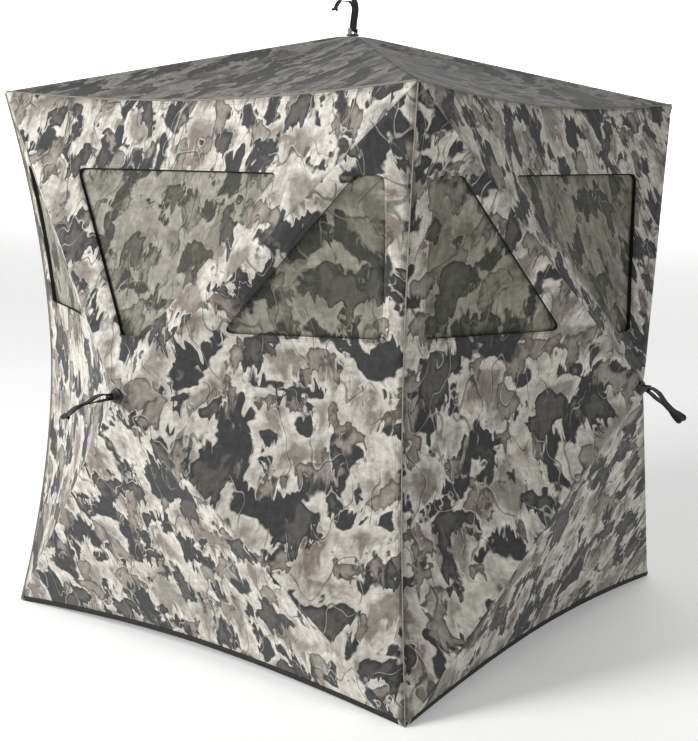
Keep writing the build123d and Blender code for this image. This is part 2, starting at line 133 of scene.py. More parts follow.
@dataclass(frozen=True)
class Camouflage:
    """A printed leaf-and-limb camouflage, in the colours of its inks.

    Each layer is a field of soft-edged blobs whose lower edges break into hanging fingers.
    """

    name: str
    ground: str = "84817a"
    wash: str = "766d67"
    shade: str = "514f4b"
    ink: str = "363637"
    pale: str = "a8a49c"
    chalk: str = "bcb8b0"
    alpha: float = 1.0
    roughness: float = 0.82
    weave: float = 950.0  # threads per metre, drawn coarser than the real ones so that they show

    def blobs(self, tree, place, comb, scale: float, shift: float, fingers: float):
        """The value of a blob field that hangs down in fingers.

        Args:
            tree: The node tree.
            place: Texture place in metres.
            comb: Value from 0 to 1 that changes quickly across the cloth.
            scale: Blobs per metre.
            shift: Moves the field, so that each layer differs.
            fingers: Length of the longest finger, in metres.

        Returns:
            The larger of the plain and the hung field.
        """
        start, stretch = (shift, shift * 0.7, 0), (1.12, 1.0, 1.0)
        moved = add(tree, MAPPING, {"Vector": place, "Location": start, "Scale": stretch})
        drop = add(tree, MATH, {0: comb, 1: fingers}, operation="MULTIPLY")
        drop = add(tree, "ShaderNodeCombineXYZ", {1: drop})
        lifted = add(tree, VECTOR, {0: moved, 1: drop}, operation="ADD")
        plain, hung = (add(tree, NOISE, {"Vector": at, "Scale": scale, "Detail": 3.0, "Roughness": 0.52})
                       for at in (moved, lifted))
        return add(tree, MATH, {0: plain, 1: hung}, operation="MAXIMUM")

    def fields(self, tree, bent) -> list:
        """The print's noise fields: teeth, streaks, mottling, hue and limbs."""
        made = []
        for stretch, shift, scale, detail, rough in (
            ((44, 9, 1), (0, 3.1, 0), 1.0, 2.0, 0.6),
            ((85, 16, 1), (1.3, 0, 0), 1.0, 3.0, 0.6),
            ((1, 1, 1), (0, 0, 0), 55.0, 5.0, 0.7),
            ((1, 1, 1), (4.2, 1.7, 0), 6.0, 3.0, 0.6),
            ((1.6, 0.75, 1), (9.1, 5.5, 0), 8.5, 1.0, 0.4),
        ):
            at = add(tree, MAPPING, {"Vector": bent, "Location": shift, "Scale": stretch})
            inputs = {"Vector": at, "Scale": scale, "Detail": detail, "Roughness": rough}
            made.append(add(tree, NOISE, inputs))
        return made

    def colour(self, tree, place):
        """The printed colour at a place in metres."""
        bend = add(tree, NOISE, {"Vector": place, "Scale": 5.0, "Detail": 2.0}, out=1)
        centred = add(tree, VECTOR, {0: bend, 1: (0.5, 0.5, 0.5)}, operation="SUBTRACT")
        push = add(tree, VECTOR, {0: centred, 3: 0.07}, operation="SCALE")
        bent = add(tree, VECTOR, {0: place, 1: push}, operation="ADD")
        teeth, streak, mottle, hue, limb = self.fields(tree, bent)
        comb = add(tree, RANGE, {"Value": teeth, "From Min": 0.42, "From Max": 0.72}, **SMOOTH)
        leaf, middle, dark = (self.blobs(tree, bent, comb, scale, shift, fingers) for scale, shift, fingers in
                              ((7.6, 21.3, 0.045), (9.5, 2.9, 0.035), (8.4, 12.4, 0.045)))
        away, near = (add(tree, MATH, {0: limb, 1: at}, operation="SUBTRACT") for at in (0.5, 0.514))
        away, near = (add(tree, MATH, {0: offset}, operation="ABSOLUTE") for offset in (away, near))

        # Where each part of the print begins and is full, in its field's values
        edges = (
            (hue, 0.42, 0.58), (leaf, 0.442, 0.474), (leaf, 0.485, 0.550), (leaf, 0.545, 0.615),
            (middle, 0.60, 0.68), (middle, 0.572, 0.592), (middle, 0.592, 0.625),
            (dark, 0.566, 0.574), (hue, 0.50, 0.56), (dark, 0.61, 0.67), (dark, 0.578, 0.598),
            (hue, 0.44, 0.52), (near, 0.009, 0.020), (away, 0.004, 0.010),
        )
        (washed, leafed, paled, hearted, warmed, rimmed, filled,
         lined, patched, deepened, darkened, broken, beside, on) = (
            add(tree, RANGE, {"Value": value, "From Min": low, "From Max": high}, **SMOOTH)
            for value, low, high in edges)
        lit = add(tree, MATH, {0: lined, 1: patched}, operation="MULTIPLY")
        lit = add(tree, MATH, {0: lit, 1: 0.7}, operation="MULTIPLY")
        shadow, twig = (
            add(tree, MATH, {0: add(tree, MATH, {0: most, 1: line}, operation="SUBTRACT"), 1: broken},
                operation="MULTIPLY", use_clamp=True)
            for most, line in ((0.6, beside), (0.45, on)))

        # Pale leaves with charcoal gaps, mid-tone leaves, charcoal leaves with pale edges, then limbs
        ground, wash, shade, ink, pale, chalk = (
            linear(code) for code in (self.ground, self.wash, self.shade, self.ink, self.pale, self.chalk))
        heart, over, deep, colour = (
            add(tree, MIX, {0: factor, 6: low, 7: high}, **COLOURS)
            for factor, low, high in ((washed, ground, wash), (warmed, wash, ground), (deepened, ink, shade),
                                      (leafed, ink, chalk)))
        for factor, top in ((paled, pale), (hearted, heart), (rimmed, shade), (filled, over), (lit, chalk),
                            (darkened, deep), (shadow, ink), (twig, chalk)):
            colour = add(tree, MIX, {0: factor, 6: colour, 7: top}, **COLOURS)
        fade, grain = (
            add(tree, RANGE, {"Value": value, "From Min": 0.5 - spread, "From Max": 0.5 + spread,
                              "To Min": least, "To Max": most})
            for value, spread, least, most in ((streak, 0.25, 0.78, 1.16), (mottle, 0.2, 0.66, 1.25)))
        bright = add(tree, MATH, {0: fade, 1: grain}, operation="MULTIPLY")
        return add(tree, VECTOR, {0: colour, 3: bright}, operation="SCALE")

    def build(self):
        """The cloth's material, printed on its own UV map in metres."""
        material, tree = new_tree(self.name)
        place = add(tree, "ShaderNodeUVMap", uv_map="cloth")
        fine, coarse = self.weave, self.weave * 0.25
        warp, weft = (add(tree, MAPPING, {"Vector": place, "Scale": scale})
                      for scale in ((fine, coarse, 1), (coarse, fine, 1)))
        warp, weft = (add(tree, NOISE, {"Vector": way, "Scale": 1.0, "Detail": 1.0}) for way in (warp, weft))
        slack = add(tree, NOISE, {"Vector": place, "Scale": 14.0, "Detail": 3.0, "Roughness": 0.55})
        threads = add(tree, MATH, {0: warp, 1: weft}, operation="ADD")
        threads = add(tree, MATH, {0: threads, 1: 0.12}, operation="MULTIPLY")
        height = add(tree, MATH, {0: slack, 1: 2.2, 2: threads}, operation="MULTIPLY_ADD")
        normal = add(tree, "ShaderNodeBump", {"Height": height, "Distance": 0.0012, "Strength": 0.8})
        return surfaced(material, {"Base Color": self.colour(tree, place), "Roughness": self.roughness,
                                   "Normal": normal, "Alpha": self.alpha, "Sheen Weight": 0.08,
                                   "Specular IOR Level": 0.25})


@dataclass(frozen=True)
class Fabric:
    """A plain woven fabric: coated lining, binding or webbing."""

    name: str
    colour: str
    lighter: str
    threads: float = 700.0
    ribs: float = 0.0
    roughness: float = 0.85

    def build(self):
        """The fabric's material, on its own UV map in metres."""
        material, tree = new_tree(self.name)
        place = add(tree, "ShaderNodeUVMap", uv_map="cloth")
        thread = add(tree, MAPPING, {"Vector": place, "Scale": (self.threads, self.threads * 0.3, 1)})
        warp = add(tree, NOISE, {"Vector": thread, "Scale": 1.0, "Detail": 1.0})
        cloud = add(tree, NOISE, {"Vector": place, "Scale": 30.0, "Detail": 3.0, "Roughness": 0.6})
        height = warp
        if self.ribs:
            across = add(tree, "ShaderNodeSeparateXYZ", {0: place}, out=1)
            phase = add(tree, MATH, {0: across, 1: math.tau * self.ribs}, operation="MULTIPLY")
            wave = add(tree, MATH, {0: phase}, operation="SINE")
            wave = add(tree, MATH, {0: wave, 1: 0.5}, operation="MULTIPLY")
            height = add(tree, MATH, {0: warp, 1: 0.6, 2: wave}, operation="MULTIPLY_ADD")
        both = add(tree, MATH, {0: cloud, 1: warp}, operation="ADD")
        both = add(tree, MATH, {0: both, 1: 0.5}, operation="MULTIPLY")
        light = add(tree, RANGE, {"Value": both, "From Min": 0.35, "From Max": 0.65}, **SMOOTH)
        colour = add(tree, MIX, {0: light, 6: linear(self.colour), 7: linear(self.lighter)}, **COLOURS)
        rough = add(tree, RANGE, {"Value": cloud, "To Min": self.roughness - 0.1,
                                  "To Max": self.roughness + 0.06})
        normal = add(tree, "ShaderNodeBump", {"Height": height, "Distance": 0.0004, "Strength": 0.7})
        return surfaced(material, {"Base Color": colour, "Roughness": rough, "Normal": normal,
                                   "Specular IOR Level": 0.3})


@dataclass(frozen=True)
class Hard:
    """A moulded, drawn or pressed hard finish with wear, grain and fine scratches."""

    name: str
    colour: str
    worn: str
    roughness: float
    metallic: float = 0.0
    grain: float = 900.0
    relief: float = 0.00008
    drawn: float = 1.0

    def build(self):
        """The finish's material, on object coordinates."""
        material, tree = new_tree(self.name)
        place = add(tree, "ShaderNodeTexCoord", out="Object")
        speck = add(tree, NOISE, {"Vector": place, "Scale": self.grain, "Detail": 2.0, "Roughness": 0.6})
        cloud = add(tree, NOISE, {"Vector": place, "Scale": 24.0, "Detail": 4.0, "Roughness": 0.6})
        along = add(tree, MAPPING, {"Vector": place, "Scale": (160 * self.drawn, 160, 22)})
        lines = add(tree, NOISE, {"Vector": along, "Scale": 1.0, "Detail": 2.0, "Roughness": 0.6})
        patch, scratch = (
            add(tree, RANGE, {"Value": value, "From Min": low, "From Max": high}, **SMOOTH)
            for value, low, high in ((cloud, 0.48, 0.75), (lines, 0.45, 0.7)))
        rub = add(tree, MATH, {0: patch, 1: scratch}, operation="MULTIPLY")
        colour = add(tree, MIX, {0: rub, 6: linear(self.colour), 7: linear(self.worn)}, **COLOURS)
        wear = add(tree, MATH, {0: rub, 1: 0.5, 2: cloud}, operation="MULTIPLY_ADD")
        rough = add(tree, RANGE, {"Value": wear, "From Max": 1.4, "To Min": self.roughness - 0.10,
                                  "To Max": self.roughness + 0.16})
        normal = add(tree, "ShaderNodeBump", {"Height": speck, "Distance": self.relief, "Strength": 0.6})
        return surfaced(material, {"Base Color": colour, "Roughness": rough, "Metallic": self.metallic,
                                   "Normal": normal})


class Finishes:
    """Every material of the blind, made once."""

    def __init__(self) -> None:
        # Printed polyester shell, in greys and creams
        self.cloth = Camouflage("printed_polyester_shell").build()
        # Shoot-through window mesh: the same print, dimmer, with the dark inside showing through
        self.mesh = Camouflage("printed_window_mesh", "7f7c71", "6f6c63", "56554d", "42423c", "8a877c", "949186",
                               alpha=0.84, weave=520.0).build()
        # Printed polyester of the roof: the walls' print with darker inks, as painted shade for the dimmer light
        # on the roof
        self.roof = Camouflage("printed_polyester_roof_painted_shade", "524f4a", "474340", "302f2d", "202020", "6a6761",
                               "7f7b74").build()
        # Grey-olive seam tape of the welts
        self.tape = Fabric("olive_seam_tape", "6d6a62", "8b877e", 900.0, 500.0).build()
        # Black polyurethane coating on the inner face of the shell
        self.lining = Fabric("black_coated_lining", "121212", "1e1e1d", 600.0, roughness=0.7).build()
        # Black polyester binding tape round hems and windows
        self.binding = Fabric("black_binding_tape", "171717", "262625", 900.0, 500.0).build()
        # Black ribbed polypropylene webbing of the pull straps and stake tabs
        self.webbing = Fabric("black_webbing", "101010", "242424", 800.0, 420.0, 0.62).build()
        # Dull black bonded thread
        self.thread = Hard("black_thread", "1b1b1a", "30302e", 0.75, relief=0.0001).build()
        # Grey-brown bonded thread of the shell's seams
        self.shell_thread = Hard("grey_thread", "4a4843", "66635c", 0.75, relief=0.0001).build()
        # Glass-filled black nylon of hubs, caps, sockets and feet
        self.nylon = Hard("glass_filled_nylon", "161616", "2b2b2a", 0.42, relief=0.00015).build()
        # Pultruded black fibreglass rod
        self.fibreglass = Hard("pultruded_fibreglass", "1a1b1a", "3a3b38", 0.30, grain=1400.0,
                               drawn=0.2).build()
        # Zinc-plated steel of pole fittings
        self.steel = Hard("zinc_plated_steel", "9a9a96", "c2c2bd", 0.32, 1.0, relief=0.00005).build()
        # Soft black rubber of pole tips
        self.rubber = Hard("black_rubber", "0e0e0e", "1d1d1c", 0.78, relief=0.0002).build()
        # Black lacquered zinc of the zip sliders
        self.zinc = Hard("lacquered_zinc", "1c1c1c", "6a6a67", 0.30, 0.8, relief=0.00005).build()
        # Acetal coil of the door's zipper
        self.coil = Hard("acetal_coil", "151515", "2c2c2b", 0.38, relief=0.00008).build()
        # Nickel-plated brass of the stake rings
        self.brass = Hard("nickel_plated_brass", "a7a39a", "cfcbc2", 0.28, 1.0, relief=0.00005).build()


# Mesh helpers


def linked(name: str, data):
    """A new object with this data, in the scene."""
    piece = bpy.data.objects.new(name, data)
    bpy.context.scene.collection.objects.link(piece)
    return piece


def make_piece(name: str, points: np.ndarray, faces: Sequence, materials: Sequence,
               marks: Optional[np.ndarray] = None, places: Optional[np.ndarray] = None, smooth: bool = True):
    """Makes a mesh piece at the origin.

    Args:
        name: The piece's name.
        points: Points in metres.
        faces: Rings of point numbers, wound so that normals point outward.
        materials: The piece's materials.
        marks: Each face's material number.
        places: Each point's place on the cloth in metres, for the UV map.
        smooth: Whether faces are shaded smoothly.

    Returns:
        The object, linked to the scene.
    """
    mesh = bpy.data.meshes.new(name)
    mesh.from_pydata([tuple(p) for p in points], [], [tuple(f) for f in faces])
    for material in materials:
        mesh.materials.append(material)
    if marks is not None:
        mesh.polygons.foreach_set("material_index", np.asarray(marks, np.int32))
    if places is not None:
        layer = mesh.uv_layers.new(name="cloth")
        corners = np.zeros(len(mesh.loops), np.int32)
        mesh.loops.foreach_get("vertex_index", corners)
        layer.data.foreach_set("uv", np.asarray(places, np.float32)[corners].ravel())
    mesh.polygons.foreach_set("use_smooth", np.full(len(mesh.polygons), smooth))
    mesh.update()
    return linked(name, mesh)


def inside(points: np.ndarray, ring: np.ndarray) -> np.ndarray:
    """Which points lie inside a ring."""
    x, y = points[:, 0][:, None], points[:, 1][:, None]
    ax, ay = ring[:, 0][None], ring[:, 1][None]
    bx, by = np.roll(ring[:, 0], -1)[None], np.roll(ring[:, 1], -1)[None]
    crosses = (ay > y) != (by > y)
    rise = np.where(by == ay, 1e-12, by - ay)
    return (crosses & (x < (bx - ax) * (y - ay) / rise + ax)).sum(1) % 2 == 1


def densify(ring: np.ndarray, gap: float) -> np.ndarray:
    """A ring with points added so that none is further than gap from the next."""
    out = []
    for a, b in zip(ring, np.roll(ring, -1, axis=0)):
        count = max(1, math.ceil(np.linalg.norm(b - a) / gap))
        out.extend(a + (b - a) * i / count for i in range(count))
    return np.array(out)


def rounded(ring: np.ndarray, radius: float, parts: int = 6) -> np.ndarray:
    """A ring with its corners rounded."""
    out = []
    for before, corner, after in zip(np.roll(ring, 1, axis=0), ring, np.roll(ring, -1, axis=0)):
        a, b = before - corner, after - corner
        la, lb = np.linalg.norm(a), np.linalg.norm(b)
        a, b = a / la, b / lb
        half = math.acos(float(np.clip(a @ b, -1, 1))) / 2
        cut = min(radius / math.tan(half), 0.45 * la, 0.45 * lb)
        start, end = corner + a * cut, corner + b * cut
        for i in range(parts + 1):
            t = i / parts
            out.append((1 - t) ** 2 * start + 2 * t * (1 - t) * corner + t * t * end)
    return np.array(out)


def grown(ring: np.ndarray, amount: float) -> np.ndarray:
    """A counterclockwise ring moved outward by an amount."""
    ahead = np.roll(ring, -1, axis=0) - ring
    ahead /= np.linalg.norm(ahead, axis=1)[:, None]
    normal = np.stack([ahead[:, 1], -ahead[:, 0]], 1)
    both = normal + np.roll(normal, 1, axis=0)
    both /= np.maximum((both * both).sum(1), 1e-9)[:, None] / 2
    return ring + both * amount


def counterclockwise(ring: np.ndarray) -> np.ndarray:
    """The ring, turned round if it runs clockwise."""
    x, y = ring[:, 0], ring[:, 1]
    area = (x * np.roll(y, -1) - y * np.roll(x, -1)).sum()
    return ring if area > 0 else ring[::-1]


def fill(ring: np.ndarray, holes: Sequence[np.ndarray], gap: float) -> tuple[np.ndarray, np.ndarray]:
    """Fills a ring with triangles of about one size.

    Args:
        ring: The outline, already as dense as its edge should be.
        holes: Outlines left open.
        gap: Distance between the inner points.

    Returns:
        Points and triangles, counterclockwise.
    """
    rings = [ring, *holes]
    edge = np.concatenate(rings)
    low, high = ring.min(0), ring.max(0)
    rows = []
    for i, y in enumerate(np.arange(low[1], high[1], gap * 0.866)):
        xs = np.arange(low[0] + (i % 2) * gap / 2, high[0], gap)
        rows.append(np.stack([xs, np.full(len(xs), y)], 1))
    grid = np.concatenate(rows)
    keep = inside(grid, ring)
    for hole in holes:
        keep &= ~inside(grid, hole)
    grid = grid[keep]
    near = 0.55 * gap
    far = np.concatenate([((part[:, None] - edge[None]) ** 2).sum(-1).min(1) > near**2
                          for part in np.array_split(grid, 8)])
    points = np.concatenate([edge, grid[far]])
    edges, start = [], 0
    for one in rings:
        edges += [(start + i, start + (i + 1) % len(one)) for i in range(len(one))]
        start += len(one)
    made = delaunay_2d_cdt([Vector(p) for p in points], edges, [], 0, 1e-7)
    flat = np.array([tuple(v) for v in made[0]])
    triangles = np.array([f for f in made[2] if len(f) == 3])
    middle = flat[triangles].mean(1)
    keep = inside(middle, ring)
    for hole in holes:
        keep &= ~inside(middle, hole)
    triangles = triangles[keep]
    a, b, c = (flat[triangles[:, i]] for i in range(3))
    one, two = b - a, c - a
    turned = one[:, 0] * two[:, 1] - one[:, 1] * two[:, 0] < 0
    triangles[turned] = triangles[turned][:, ::-1]
    return flat, triangles


def closed_sheet(front: np.ndarray, back: np.ndarray, triangles: np.ndarray, flip: bool) -> tuple:
    """Joins a sheet's two faces along every open edge.

    Args:
        front: Outer points.
        back: Inner points, one for each outer point.
        triangles: Triangles of the outer face.
        flip: Whether the outer face's winding has to be turned round.

    Returns:
        Points, faces, and each face's side: 0 outer, 1 inner or rim.
    """
    if flip:
        triangles = triangles[:, ::-1]
    count = len(front)
    sides = np.concatenate([triangles[:, [0, 1]], triangles[:, [1, 2]], triangles[:, [2, 0]]])
    known = {(int(a), int(b)) for a, b in sides}
    rim = [(a, b) for a, b in known if (b, a) not in known]
    faces = [tuple(t) for t in triangles] + [tuple(t[::-1] + count) for t in triangles]
    faces += [(b, a, a + count, b + count) for a, b in sorted(rim)]
    marks = np.array([0] * len(triangles) + [1] * len(triangles) + [1] * len(rim))
    return np.concatenate([front, back]), faces, marks


def cut_size(points: np.ndarray, triangles: np.ndarray) -> tuple[tuple[float, float], float]:
    """The smallest rectangle that a flat cut fits in, and the cut's area."""
    a, b, c = (points[triangles[:, i]] for i in range(3))
    one, two = b - a, c - a
    area = 0.5 * np.abs(one[:, 0] * two[:, 1] - one[:, 1] * two[:, 0]).sum()
    best = None
    for turn in np.radians(np.arange(0, 90, 3)):
        x = points[:, 0] * math.cos(turn) + points[:, 1] * math.sin(turn)
        y = points[:, 1] * math.cos(turn) - points[:, 0] * math.sin(turn)
        sides = sorted((float(np.ptp(x)), float(np.ptp(y))))
        if best is None or sides[0] * sides[1] < best[0] * best[1]:
            best = sides
    return (best[0], best[1]), float(area)


def sweep(path: np.ndarray, across: np.ndarray, width: float, thick: float, ring: bool) -> tuple:
    """A flat band swept along a path, with softened edges.

    Args:
        path: The band's middle line.
        across: The direction of the band's width at each point of the path.
        width: Width of the band.
        thick: Thickness of the band.
        ring: Whether the path is closed.

    Returns:
        Points, faces and places in metres.
    """
    ahead = np.roll(path, -1, axis=0) - np.roll(path, 1, axis=0)
    if not ring:
        ahead[0], ahead[-1] = path[1] - path[0], path[-1] - path[-2]
    ahead /= np.linalg.norm(ahead, axis=1)[:, None]
    across = across - (across * ahead).sum(1)[:, None] * ahead
    across /= np.linalg.norm(across, axis=1)[:, None]
    face = np.cross(ahead, across)
    soft = min(thick * 0.4, 0.0006)
    w, t = width / 2, thick / 2
    cut = np.linspace(-w + soft, w - soft, 5)
    outline = [(x, t) for x in cut] + [(w, t - soft), (w, soft - t)]
    outline += [(x, -t) for x in cut[::-1]] + [(-w, soft - t), (-w, t - soft)]
    rows, places = [], []
    run = np.concatenate([[0], np.cumsum(np.linalg.norm(np.diff(path, axis=0), axis=1))])
    for x, y in outline:
        rows.append(path + across * x + face * y)
        places.append(np.stack([run, np.full(len(path), x)], 1))
    points = np.stack(rows, 1).reshape(-1, 3)
    uv = np.stack(places, 1).reshape(-1, 2)
    size, count = len(outline), len(path)
    faces = []
    for i in range(count if ring else count - 1):
        j = (i + 1) % count
        for k in range(size):
            m = (k + 1) % size
            faces.append((i * size + k, i * size + m, j * size + m, j * size + k))
    if not ring:
        faces.append(tuple(range(size))[::-1])
        faces.append(tuple((count - 1) * size + k for k in range(size)))
    return points, faces, uv


def oriented(points: np.ndarray, faces: Sequence) -> list:
    """The faces of a closed mesh, turned over if they face inward."""
    total = 0.0
    for face in faces:
        first = points[face[0]]
        for i in range(1, len(face) - 1):
            total += float(first @ np.cross(points[face[i]], points[face[i + 1]]))
    return [tuple(f) for f in faces] if total > 0 else [tuple(f)[::-1] for f in faces]


def looped(rings: Sequence[np.ndarray]) -> tuple[np.ndarray, list]:
    """Rings joined each to the next, and the last to the first: points and outward faces."""
    points, count, size = np.concatenate(rings), len(rings[0]), len(rings)
    faces = []
    for k in range(size):
        a, b = k * count, (k + 1) % size * count
        faces += [(a + i, a + (i + 1) % count, b + (i + 1) % count, b + i) for i in range(count)]
    return points, oriented(points, faces)


def band(name: str, path: np.ndarray, across: np.ndarray, width: float, thick: float, material,
         ring: bool = False):
    """A flat band along a path, as a piece."""
    points, faces, places = sweep(path, across, width, thick, ring)
    return make_piece(name, points, oriented(points, faces), [material], places=places, smooth=False)


def stand_for(node: str) -> None:
    """Shows a piece in place of a CAD node."""
    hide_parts(node)


# Repeated small parts, made with Geometry Nodes


class Repeat(Enum):
    """What is repeated along a line: a stitch along it, or a zipper tooth across it."""

    STITCH = "stitch"
    TOOTH = "tooth"


def repeat_group(kind: Repeat):
    """The node group that puts capsules along a line at even steps.

    Inputs: the line, Gap (m), Length (m), Radius (m) and Material.
    """
    name = f"repeat_{kind.value}"
    if name in bpy.data.node_groups:
        return bpy.data.node_groups[name]
    group = bpy.data.node_groups.new(name, "GeometryNodeTree")
    face = group.interface
    face.new_socket("Line", in_out="INPUT", socket_type="NodeSocketGeometry")
    for title, value in (("Gap", 0.006), ("Length", 0.003), ("Radius", 0.0005)):
        face.new_socket(title, in_out="INPUT", socket_type="NodeSocketFloat").default_value = value
    face.new_socket("Material", in_out="INPUT", socket_type="NodeSocketMaterial")
    face.new_socket("Parts", in_out="OUTPUT", socket_type="NodeSocketGeometry")
    source = add(group, "NodeGroupInput").node.outputs
    curve = add(group, "GeometryNodeMeshToCurve", {"Mesh": source["Line"]})
    spots = add(group, "GeometryNodeCurveToPoints", {"Curve": curve, "Length": source["Gap"]}, mode="LENGTH")
    ball = add(group, "GeometryNodeMeshUVSphere", {"Segments": 6, "Rings": 4, "Radius": 1.0})
    half = add(group, MATH, {0: source["Length"], 1: 0.5}, operation="MULTIPLY")
    long_way, short_way = (2, 0) if kind is Repeat.STITCH else (0, 2)
    sizes = {long_way: half, short_way: source["Radius"], 1: source["Radius"]}
    inputs = {"Points": spots, "Instance": ball, "Rotation": spots.node.outputs["Rotation"],
              "Scale": add(group, "ShaderNodeCombineXYZ", sizes)}
    real = add(group, "GeometryNodeRealizeInstances", {0: add(group, "GeometryNodeInstanceOnPoints", inputs)})
    shaded = add(group, "GeometryNodeSetMaterial", {"Geometry": real, "Material": source["Material"]})
    add(group, "NodeGroupOutput", {0: shaded})
    return group


def repeated(name: str, lines: Sequence[np.ndarray], material, ring: bool = False,
             kind: Repeat = Repeat.STITCH, gap: float = 6.2 * MM, length: float = 4.2 * MM,
             radius: float = 0.45 * MM):
    """Stitches or teeth along lines, as one plain mesh.

    Args:
        name: The piece's name.
        lines: Rows of points.
        material: Their material.
        ring: Whether the lines are closed.
        kind: What is repeated.
        gap: Distance between repeats.
        length: Length of each.
        radius: Radius of each.

    Returns:
        The piece.
    """
    points, edges = [], []
    for line in lines:
        start = len(points)
        points += [tuple(p) for p in line]
        edges += [(start + i, start + i + 1) for i in range(len(line) - 1)]
        if ring:
            edges.append((len(points) - 1, start))
    mesh = bpy.data.meshes.new(name + "_line")
    mesh.from_pydata(points, edges, [])
    maker = linked(name + "_line", mesh)
    group = repeat_group(kind)
    modifier = maker.modifiers.new("repeat", "NODES")
    modifier.node_group = group
    keys = {item.name: item.identifier for item in group.interface.items_tree if item.in_out == "INPUT"}
    for title, value in (("Gap", gap), ("Length", length), ("Radius", radius), ("Material", material)):
        modifier[keys[title]] = value
    bpy.context.view_layer.update()
    view = maker.evaluated_get(bpy.context.evaluated_depsgraph_get())
    solid = bpy.data.meshes.new_from_object(view)
    solid.name = name
    bpy.data.objects.remove(maker)
    bpy.data.meshes.remove(mesh)
    solid.polygons.foreach_set("use_smooth", np.full(len(solid.polygons), True))
    return linked(name, solid)


# The stretched shell


class Side(Enum):
    """A side of the blind, with its turn in degrees from the front."""

    FRONT = 0
    RIGHT = 90
    BACK = 180
    LEFT = 270

    @property
    def label(self) -> str:
        """The side's name in the CAD."""
        return self.name.lower()

    def world(self, along, out, up) -> np.ndarray:
        """Points in the row frame from along (to the right seen from outside), out and up."""
        turn = math.radians(self.value)
        c, s = math.cos(turn), math.sin(turn)
        along, out, up = np.broadcast_arrays(along, out, up)
        return np.stack([along * c + out * s, along * s - out * c, up + 0.0 * along], -1)


class Kind(Enum):
    """Which facet of a panel: four on a wall, and the roof's."""

    TOP = "top"
    RIGHT = "right"
    BOTTOM = "bottom"
    LEFT = "left"
    ROOF = "roof"


@dataclass(frozen=True)
class Spread:
    """How a facet runs from its hub to its rim, in metres."""

    reach: float
    half: float
    pull: float
    apex: float
    corner: float
    dip: float


SIDE_SPREAD = Spread(0.740, 0.795, 0.082, HUB_OUT, 0.740, 0.082)
SPREADS = {
    Kind.TOP: Spread(0.795, 0.740, 0.035, HUB_OUT, 0.740, 0.030),
    Kind.RIGHT: SIDE_SPREAD,
    Kind.BOTTOM: Spread(0.795, 0.740, 0.040, HUB_OUT, 0.740, 0.010),
    Kind.LEFT: SIDE_SPREAD,
    Kind.ROOF: Spread(0.740, 0.740, 0.030, ROOF_UP, 1.590, 0.035),
}
# How far r and s run along and up on a wall
TURNS = {Kind.TOP: ((0, 1), (1, 0)), Kind.RIGHT: ((1, 0), (0, 1)),
         Kind.BOTTOM: ((0, 1), (-1, 0)), Kind.LEFT: ((-1, 0), (0, 1))}
PRINT_STARTS = {Side.FRONT: 0.0, Side.RIGHT: 3.3, Side.BACK: 7.1, Side.LEFT: 11.9}
PRINT_STRETCH = 1.07  # a facet's length along its slope, to its length level


SEAM_MU = np.linspace(-0.97, 0.97, 60)  # where a seam's stitches run, across a facet
SEAM_NARROW = 0.985
THREAD_RISE = 0.1 * MM


